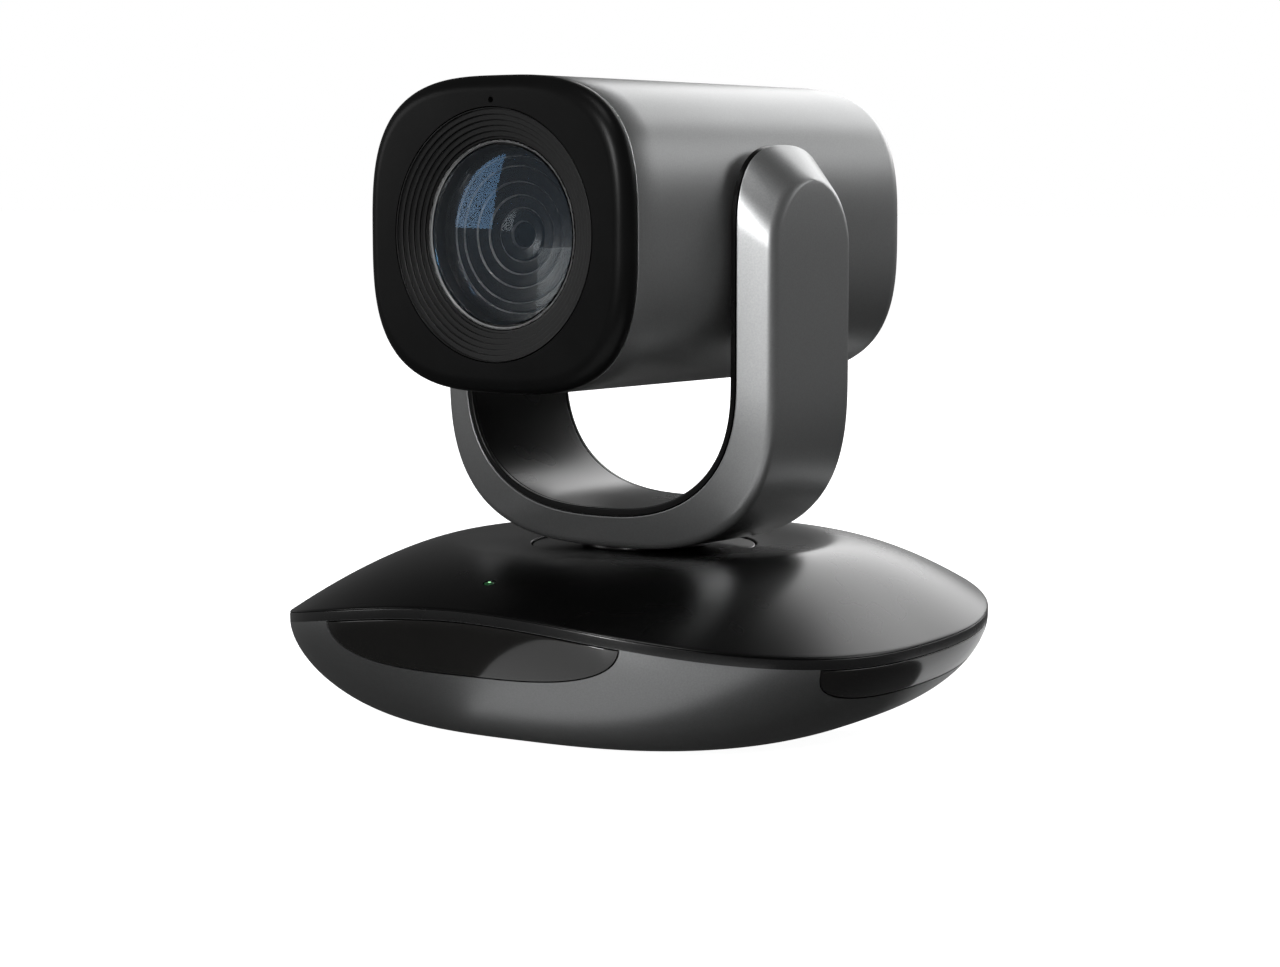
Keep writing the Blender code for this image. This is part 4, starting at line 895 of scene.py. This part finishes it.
def make_lens():
    window = lens_disc(GLASS_RADIUS, -54.0 * MM, -53.1 * MM, 0.25 * MM, -0.2 * MM)
    piece("front_glass_fine", window, FRONT_GLASS, "head", ["front_glass"], HEAD_PLACE)
    profile = [(BARREL_RADIUS, BARREL_FRONT), (BARREL_RADIUS, BARREL_REAR),
               (BARREL_BORE, BARREL_REAR), (BARREL_BORE, BARREL_FRONT)]
    radii = [0.2 * MM, 0.2 * MM, 0.0, 0.3 * MM]
    barrel = turned(profile, radii, closed=True, turn=ALONG_Y, count=HEAD_SEGMENTS)
    piece("lens_barrel_fine", barrel, INNER_BLACK, "head", ["lens_barrel"], HEAD_PLACE)
    group = ["front_lens_group"]
    element = lens_disc(19.7 * MM, -50.3 * MM, -46.4 * MM, 2.4 * MM, -0.2 * MM)
    middle = -48.5 * MM
    for face in element.faces:
        if face.calc_center_median().y > middle:
            face.material_index = 1
    made = piece("front_lens_element", element, LENS_GLASS, "head", group, HEAD_PLACE)
    made.data.materials.append(INNER_GLASS)
    for name, (outer, inner, front, rear, chamfer) in LENS_CELLS.items():
        ring = cell_ring(outer * MM, inner * MM, front * MM, rear * MM, chamfer * MM)
        # The chamfer faces take the light grey finish: a painted highlight on the black cells.
        mark_faces(ring, inner * MM, (inner + chamfer) * MM, (front + chamfer) * MM)
        made = piece(name, ring, RING_SATIN, "head", group, HEAD_PLACE)
        made.data.materials.append(RING_EDGE_HIGHLIGHT)
    second = lens_disc(5.5 * MM, -44.4 * MM, -43.7 * MM, 0.6 * MM, -0.2 * MM)
    piece("second_lens_element", second, INNER_GLASS, "head", group, HEAD_PLACE)


# ---------------------------------------------------------------- carried-over CAD nodes

# The finish of every CAD node that no finer piece replaces
CARRIED = {
    "base_weight_plate": STEEL, "base_chassis": ALUMINIUM, "pan_bearing": STEEL, "pan_motor": STEEL,
    "pan_belt": RUBBER, "main_board": BOARD, "rear_connector_panel": PORT_BLACK, "dc_power_jack": STEEL,
    "usb_port": ALUMINIUM, "front_ir_receiver": PORT_BLACK, "right_ir_receiver": PORT_BLACK,
    "left_ir_receiver": PORT_BLACK, "pan_motor_pulley": BRASS, "pan_spindle": ALUMINIUM,
    "pan_driven_pulley": NYLON, "yoke_frame": STEEL, "left_trunnion": STEEL, "right_trunnion": STEEL,
    "tilt_fixed_pulley": NYLON, "lens_guide_rod_1": STEEL, "lens_guide_rod_2": STEEL, "zoom_motor": STEEL,
    "focus_motor": STEEL, "sensor_board": BOARD, "head_chassis": ALUMINIUM, "left_tilt_bush": BRASS,
    "right_tilt_bush": BRASS, "tilt_motor": STEEL, "tilt_belt": RUBBER, "microphone": STEEL,
    "tilt_motor_pulley": BRASS, "zoom_lens_group": INNER_BLACK, "focus_lens_group": INNER_BLACK,
}


def finish_carried_nodes():
    for name, material in CARRIED.items():
        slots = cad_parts[name].material_slots
        for held in slots:
            held.material = material


# ---------------------------------------------------------------- stage, light and camera

CAMERA_PLACE = Vector((361.1, -586.5, 128.0)) * MM
CAMERA_TARGET = Vector((1.20, -3.82, 57.2)) * MM
CAMERA_LENS = 79.76
SUBJECT = Vector((0.0, 0.0, 80.0)) * MM
FLOOR_REACH = 12.0

# Brightness of the dim room round the object, by height
ROOM_BELOW = 0.05
ROOM_LEVEL = 0.16
ROOM_ABOVE = 0.05

# Area lights, in metres and watts: place, size, power
LIGHTS = {
    "rear_softbox": ((-0.08, 1.45, 0.76), (1.3, 1.00), 12.0),
    "right_softbox": ((1.05, 1.15, 0.66), (0.60, 0.50), 2.0),
    "front_strip": ((0.14, -1.50, 0.58), (0.24, 0.56), 17.5),
    "overhead": ((0.40, -0.55, 1.45), (0.60, 0.60), 5),
    "lens_window": ((-1.20, -0.72, 0.37), (0.54, 0.48), 2.3),
}

# Lit cards on the floor, in metres: centre, size, strength, turn
CARDS = {
    "front_card": ((0.108, -0.138, 0.1 * MM), (0.238, 0.144), 0.42, 0.0),
    "rear_card": ((0.032, 0.0825, 0.1 * MM), (0.16, 0.14), 0.2, math.radians(41)),
}


def area_light(name, place, size, power):
    data = bpy.data.lights.new(name, "AREA")
    data.shape = "RECTANGLE"
    data.size, data.size_y = size
    data.energy = power
    light = bpy.data.objects.new(name, data)
    light.location = place
    light.rotation_euler = (SUBJECT - Vector(place)).to_track_quat("-Z", "Y").to_euler()
    bpy.context.scene.collection.objects.link(light)


def make_stage():
    floor_material = Finish("floor_white").set(Emission_Color=(1, 1, 1, 1), Emission_Strength=0.96)
    floor_material.color(floor_material.noise(3), grey(0.86), grey(0.90))
    floor_material.rough(floor_material.noise(8), 0.85, 0.95)
    mesh = bpy.data.meshes.new("floor")
    level = -0.05 * MM
    signs = ((-1, -1), (1, -1), (1, 1), (-1, 1))
    mesh.from_pydata([(sx * FLOOR_REACH, sy * FLOOR_REACH, level) for sx, sy in signs], [], [(0, 1, 2, 3)])
    mesh.materials.append(floor_material.material)
    floor = bpy.data.objects.new("floor", mesh)
    bpy.context.scene.collection.objects.link(floor)
    floor.visible_glossy = False
    floor.visible_diffuse = False
    floor.visible_transmission = False


def make_world():
    """A white backdrop for the camera; the room that lights the object is dim, darker overhead."""
    world = bpy.data.worlds.new("studio")
    bpy.context.scene.world = world
    world.use_nodes = True
    nodes, links = world.node_tree.nodes, world.node_tree.links
    background = nodes["Background"]
    height = nodes.new("ShaderNodeSeparateXYZ")
    links.new(nodes.new("ShaderNodeTexCoord").outputs["Generated"], height.inputs["Vector"])
    ramp = nodes.new("ShaderNodeValToRGB")
    remap = nodes.new("ShaderNodeMapRange")
    remap.inputs["From Min"].default_value = -1.0
    remap.inputs["From Max"].default_value = 1.0
    links.new(height.outputs["Z"], remap.inputs["Value"])
    links.new(remap.outputs["Result"], ramp.inputs["Fac"])
    stops = ramp.color_ramp.elements
    low, middle, high = 0.30, 0.50, 0.75
    stops[0].position, stops[0].color = low, (ROOM_BELOW, ROOM_BELOW, ROOM_BELOW, 1)
    stops[1].position, stops[1].color = high, (ROOM_ABOVE, ROOM_ABOVE, ROOM_ABOVE, 1)
    level = stops.new(middle)
    level.color = (ROOM_LEVEL, ROOM_LEVEL, ROOM_LEVEL * 1.01, 1)
    path = nodes.new("ShaderNodeLightPath")
    mix = nodes.new("ShaderNodeMix")
    mix.data_type = "RGBA"
    colors = [socket for socket in mix.inputs if socket.type == "RGBA"]
    links.new(ramp.outputs["Color"], colors[0])
    colors[1].default_value = (1.0, 1.0, 1.0, 1)
    links.new(path.outputs["Is Camera Ray"], mix.inputs["Factor"])
    result = [socket for socket in mix.outputs if socket.type == "RGBA"][0]
    links.new(result, background.inputs["Color"])


def make_card(name, centre, size, strength, turn):
    """A lit card flat on the floor that only shows in reflections."""
    card_material = Finish(name + "_white").set(Emission_Color=(1, 1, 1, 1), Emission_Strength=strength)
    card_material.color(card_material.noise(3), grey(0.50), grey(0.55))
    half_x, half_y = size[0] / 2, size[1] / 2
    mesh = bpy.data.meshes.new(name)
    corners = [(-half_x, -half_y, 0), (half_x, -half_y, 0), (half_x, half_y, 0), (-half_x, half_y, 0)]
    mesh.from_pydata(corners, [], [(0, 1, 2, 3)])
    mesh.materials.append(card_material.material)
    card = bpy.data.objects.new(name, mesh)
    card.location = centre
    card.rotation_euler = (0, 0, turn)
    bpy.context.scene.collection.objects.link(card)
    card.visible_camera = False
    card.visible_shadow = False


def make_lights():
    for name, values in LIGHTS.items():
        area_light(name, *values)
    for name, values in CARDS.items():
        make_card(name, *values)


def make_camera():
    data = bpy.data.cameras.new("camera")
    data.lens = CAMERA_LENS
    data.sensor_width = 36.0
    data.clip_start = 0.01
    camera = bpy.data.objects.new("camera", data)
    camera.location = CAMERA_PLACE
    camera.rotation_euler = (CAMERA_TARGET - CAMERA_PLACE).to_track_quat("-Z", "Y").to_euler()
    bpy.context.scene.collection.objects.link(camera)
    bpy.context.scene.camera = camera


make_bottom_shell()
make_top_cover()
make_windows()
make_status_led()
make_underside()
make_yoke_outer()
make_yoke_inner()
make_turntable()
make_head_shell()
make_rear_cover()
make_bezel()
make_baffle()
make_lens()
finish_carried_nodes()
make_stage()
make_world()
make_lights()
make_camera()
bpy.context.scene.view_settings.view_transform = "Standard"

bpy.context.view_layer.update()
